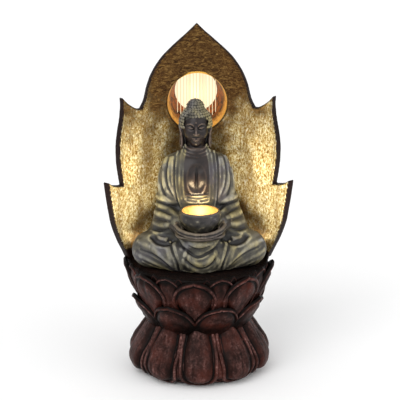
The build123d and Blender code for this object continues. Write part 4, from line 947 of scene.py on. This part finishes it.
def hair(paint, crown):
    """Snail curls in rings over the scalp and the bump on top, each a little coiled tube."""
    turns, tube, start_r, end_r = 2.2, 0.52, 1.62, 0.27
    t = np.linspace(0, 1, 26)
    a = t * turns * 2 * math.pi
    r = start_r + (end_r - start_r) * t
    spiral = np.stack([r * np.cos(a), r * np.sin(a), 0.2 + 1.25 * t**0.8], axis=1)
    ring = np.linspace(0, 2 * math.pi, 6, endpoint=False)
    tangent = np.gradient(spiral, axis=0)
    tangent /= np.linalg.norm(tangent, axis=1)[:, None]
    side = np.cross(tangent, [0, 0, 1.0])
    side /= np.linalg.norm(side, axis=1)[:, None]
    up = np.cross(side, tangent)
    width = tube * np.where(t > 0.9, 1.2, 1)[:, None, None]
    curl = spiral[:, None, :] + width * (np.cos(ring)[None, :, None] * side[:, None, :]
                                         + np.sin(ring)[None, :, None] * up[:, None, :])
    curl = np.vstack([curl.reshape(-1, 3), spiral[:1], spiral[-1:]])
    m = len(ring)
    shell = [face[::-1] for face in ring_faces(len(t), m)]
    n = len(t) * m
    shell += [(n, (j + 1) % m, j) for j in range(m)]
    shell += [(n + 1, n - m + j, n - m + (j + 1) % m) for j in range(m)]

    def scatter(centre, radii, lowest, pitch, first=0.0):
        """Points and normals in rings on an ellipsoid, from its top down to the lowest height."""
        centre, radii = np.array(centre), np.array(radii)
        lat = math.pi / 2
        while centre[2] + radii[2] * math.sin(lat) >= lowest:
            around = 2 * math.pi * max(radii[0] * math.cos(lat), 0.01)
            count = max(1, int(around / pitch))
            for i in range(count):
                lon = 2 * math.pi * (i + first) / count
                d = np.array([math.cos(lat) * math.cos(lon), math.cos(lat) * math.sin(lon), math.sin(lat)])
                yield centre + radii * d, d / radii / np.linalg.norm(d / radii)
            lat -= pitch / (0.5 * (radii[0] + radii[2])) * 0.94
            first = 0.5 - first

    keep = []
    for p, normal in scatter((0, 2.5, crown - 19.5), (18.0, 18.6, 19.9), crown - 35, 3.3):
        line = crown - 8.5 - 0.02 * p[0] ** 2
        if p[1] < -4 and p[2] < line and abs(p[0]) < 13.2:
            continue
        if p[1] < 7 and p[2] < 288 and abs(p[0]) > 9:
            continue
        keep.append((p + RNG.uniform(-0.35, 0.35, 3), normal, 1.08))
    keep += [(p + RNG.uniform(-0.25, 0.25, 3), normal, 1.0)
             for p, normal in scatter((0, 2.5, 309.5), (9.4, 9.4, 9.4), 309.0, 3.1, 0.25)]
    points, faces, relief = [], [], []
    for p, normal, size in keep:
        helper = np.array([0, 0, 1.0]) if abs(normal[2]) < 0.9 else np.array([0, 1.0, 0])
        ex = np.cross(helper, normal)
        ex /= np.linalg.norm(ex)
        ey = np.cross(normal, ex)
        spin = RNG.uniform(0, 6.28)
        c, s = math.cos(spin), math.sin(spin)
        ex, ey = c * ex + s * ey, c * ey - s * ex
        start = len(points) * len(curl)
        points.append(p + size * (curl[:, :1] * ex + curl[:, 1:2] * ey + (curl[:, 2:] - 0.5) * normal))
        relief.append(np.clip(curl[:, 2] * 0.45 - 0.25, -0.3, 0.6))
        faces += [tuple(start + i for i in f) for f in shell]
    base = Clay((-14, -12, 296), (14, 17, 324), 0.6)
    base.ellipsoid((0, 2.5, 309.5), (9.1, 9.1, 9.3), 1)
    base.ellipsoid((0, 2.5, 303.5), (12.5, 12.5, 7.0), 3)
    bump, quads = base.mesh()
    start = len(points) * len(curl)
    points.append(bump)
    relief.append(np.full(len(bump), -0.2))
    faces += [tuple(start + i for i in f) for f in quads.tolist()]
    casting("hair_curls", leaned(np.vstack(points)), faces, paint, np.concatenate(relief), 0, 0.12)


def bowl(paint, inside):
    """The alms bowl, with a rolled lip and a dented, hand-beaten wall."""
    outer = [(11.5, 178), (15, 180.6), (19.0, 185), (22.0, 190), (23.5, 195), (23.9, 198.4), (23.4, 201.0),
             (22.4, 202.6), (21.2, 203.3), (20.2, 202.8), (19.7, 201.4)]
    inner = [(19.2, 197), (17.8, 190), (15.4, 185.4), (12.2, 182.3), (11.6, 182.0)]
    profile = np.vstack([spline(outer, 40), spline(inner, 20), [(11.5, 181.9), (5, 181.9), (5, BOWL_BOTTOM)]])
    turns = np.linspace(0, 2 * math.pi, 180, endpoint=False)[:, None]
    hammer = waves(24 * np.cos(turns), 24 * np.sin(turns), profile[None, :, 1], 7, 81)
    outside = (profile[:, 1] < 201) * (np.arange(len(profile)) < 36)
    relief = 0.3 * np.exp(-((profile[:, 1] - 202.5) / 1.3) ** 2) - 0.1 + 0.5 * hammer * outside
    piece = revolve("alms_bowl_cast", profile, paint, 180, wobble=lambda a, z: 0.3 * hammer * outside,
                    slot="bronze_resin", values={"relief": relief.reshape(-1), "broad_shade": np.zeros(relief.size),
                                                 "skin": np.full(relief.size, 0.35)})
    piece.data.transform(Matrix.Translation((0, BOWL_Y * MM, 0)))
    piece.data.materials.append(inside)
    for face in piece.data.polygons:
        x, y, z = face.center.x, face.center.y - BOWL_Y * MM, face.center.z
        if face.normal.x * x + face.normal.y * y < 0 and math.hypot(x, y) < 20.4 * MM and z > 181.8 * MM:
            face.material_index = 1
    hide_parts("alms_bowl")


# ---- CAD nodes that show as they are
def dress(*names, paint):
    """Gives CAD nodes a material in every slot."""
    for name in names:
        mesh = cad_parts[name].data
        if not mesh.materials:
            mesh.materials.append(paint)
        for i in range(len(mesh.materials)):
            mesh.materials[i] = paint


def hardware():
    """Materials of the small parts, the housing, the window and the hoses."""
    dress("foot_ring", "cable_grommet", "suction_cups",
          paint=plain_paint("soft_rubber", rgb(20, 20, 20), rgb(34, 33, 33), (0.72, 0.86), 700))
    dress("base_plate", "line_anchor_bar", "bowl_nozzle", "bowl_lamp", "uplight_left", "uplight_right", "pump_body",
          "pump_cover", "lead_junction",
          paint=plain_paint("black_plastic", rgb(22, 22, 23), rgb(38, 38, 40), (0.42, 0.58), 900, bump=0.25))
    dress("basin_screws", "mandorla_brackets", "bracket_screws", "housing_screws", "door_hinge_pin",
          paint=plain_paint("zinc_plate", rgb(138, 140, 146), rgb(186, 186, 190), (0.28, 0.46), metallic=0.95,
                            stretch=(900, 900, 120)))
    dress("rear_housing", "rear_door", paint=dark_paint("back_paint", 1.25))
    dress("window_led_board", paint=plain_paint("solder_mask", rgb(206, 210, 200), rgb(228, 230, 222), (0.3, 0.4), 500))
    dress("impeller", "flow_dial", "tee_fitting",
          paint=plain_paint("white_plastic", rgb(206, 206, 200), rgb(226, 226, 221), (0.36, 0.48), 600))
    dress("impeller_magnet", paint=plain_paint("ferrite", rgb(44, 43, 44), rgb(66, 65, 67), (0.5, 0.7), 1400, 0.3))
    dress("impeller_shaft", paint=plain_paint("ceramic", rgb(214, 208, 196), rgb(232, 228, 218), (0.12, 0.2), 800))
    dress("bowl_hose", "rain_hose", paint=clear_paint("clear_hose", (0.80, 0.83, 0.82)))
    dress("drip_tray", paint=clear_paint("clear_tray", (0.86, 0.88, 0.88), 0.08))
    dress("pump_lead", "window_lamp_lead", "uplight_lead_left", "uplight_lead_right", "bowl_lamp_lead",
          paint=plain_paint("lead_rubber", rgb(18, 18, 18), rgb(30, 30, 30), (0.5, 0.65), 1100))
    dress("bowl_lamp_lens", "uplight_lens_left", "uplight_lens_right",
          paint=lit_paint("warm_lens", rgb(255, 222, 158), 4.0))
    dress("window_diffuser", paint=lit_paint("window_panel", rgb(252, 243, 212), 0.95, stripes=True))
    # The rain lines are no lamp: their glow is painted light.
    dress("rain_lines", paint=lit_paint("wet_line", rgb(252, 230, 188), 0.75))
    dress("window_duct", paint=duct_paint())


# ---- lamps
def lamp(name, kind, where, energy, colour, size, aim=None, cone=None, blend=0.6):
    """size is the sun's angle or the lamp's radius."""
    data = bpy.data.lights.new(name, kind)
    data.energy, data.color = energy, colour
    if kind == "SUN":
        data.angle = size
    else:
        data.shadow_soft_size = size
    made = bpy.data.objects.new(name, data)
    made.location = where
    if aim:
        made.rotation_euler = (Vector(aim) - Vector(where)).to_track_quat("-Z", "Y").to_euler()
    if cone:
        data.spot_size, data.spot_blend = math.radians(cone), blend
    bpy.context.scene.collection.objects.link(made)


def fountain_lamps():
    """The fountain's own light: on the leaf's sides, in the bowl and in the window."""
    warm = (1.0, 0.94, 0.84)
    for side in (-1, 1):
        lamp(f"uplight_glow_{side + 1}", "SPOT", (side * 0.062, 0.004, 0.1425), 0.05, warm, 0.004,
             (side * 0.088, 0.012, 0.25), 120, 0.9)
        lamp(f"uplight_wash_{side + 1}", "SPOT", (side * 0.062, -0.080, 0.160), 0.96, warm, 0.012,
             (side * 0.087, 0.0, 0.229), 80, 1.0)
    lamp("bowl_glow", "POINT", (0, -0.046, 0.1985), 0.16, (1.0, 0.82, 0.52), 0.006)
    lamp("window_glow", "POINT", (0, 0.058, 0.309), 0.035, (1.0, 0.72, 0.32), 0.01)


# ---- scene
def studio():
    """Plain pale floor and soft light."""
    floor = bpy.data.meshes.new("floor")
    s = 9.0
    floor.from_pydata([(-s, -s, 0), (s, -s, 0), (s, s, 0), (-s, s, 0)], [], [(0, 1, 2, 3)])
    piece = bpy.data.objects.new("floor", floor)
    bpy.context.scene.collection.objects.link(piece)
    p = Paint("floor_paint")
    grain = p.noise(2.0, 2)
    p.set(Base_Color=p.ramp(grain, (0.2, (0.95, 0.95, 0.95)), (0.8, (0.97, 0.97, 0.97))), Roughness=0.8,
          Specular=0.2)
    floor.materials.append(p.material)
    world = bpy.data.worlds.new("studio")
    world.use_nodes = True
    world.node_tree.nodes["Background"].inputs[0].default_value = (1, 1, 1, 1)
    world.node_tree.nodes["Background"].inputs[1].default_value = 0.8
    bpy.context.scene.world = world
    bpy.context.scene.view_settings.view_transform = "Standard"
    lamp("key", "SUN", (-0.7, -1.2, 1.4), 1.3, (1, 1, 1), math.radians(45), (0, 0, 0.2))
    lamp("fill", "SUN", (1.2, -1.0, 0.7), 0.7, (1, 1, 1), math.radians(60), (0, 0, 0.2))


def camera():
    """The photograph's angle, from slightly above and hardly turned."""
    data = bpy.data.cameras.new("camera")
    data.sensor_width, data.lens = 36, 180.86
    data.clip_start, data.clip_end = 0.1, 50
    eye = bpy.data.objects.new("camera", data)
    azimuth, rise, roll, far = math.radians(-2.0), math.radians(16.5), math.radians(0.22), 2.3
    target = Vector((0.0017, 0, 0.2013))
    back = Vector((math.sin(azimuth) * math.cos(rise), -math.cos(azimuth) * math.cos(rise), math.sin(rise)))
    eye.location = target + back * far
    eye.rotation_euler = ((-back).to_track_quat("-Z", "Y") @ Quaternion((0, 0, 1), -roll)).to_euler()
    bpy.context.scene.collection.objects.link(eye)
    bpy.context.scene.camera = eye


camera()
studio()
mahogany, rocky, gold = lotus_paint(), dark_paint(), gold_paint()
bronze = bronze_paint()
bowl_gold = plain_paint("bowl_gilt", rgb(92, 66, 26), rgb(134, 102, 50), (0.4, 0.55), 220, 0.3)
lotus(mahogany, rocky)
dress("seat_plate", paint=rocky)
hardware()
figure_body(bronze)
hands(bronze)
head(bronze)
bowl(bronze, bowl_gold)
back_plate(gold)
fountain_lamps()
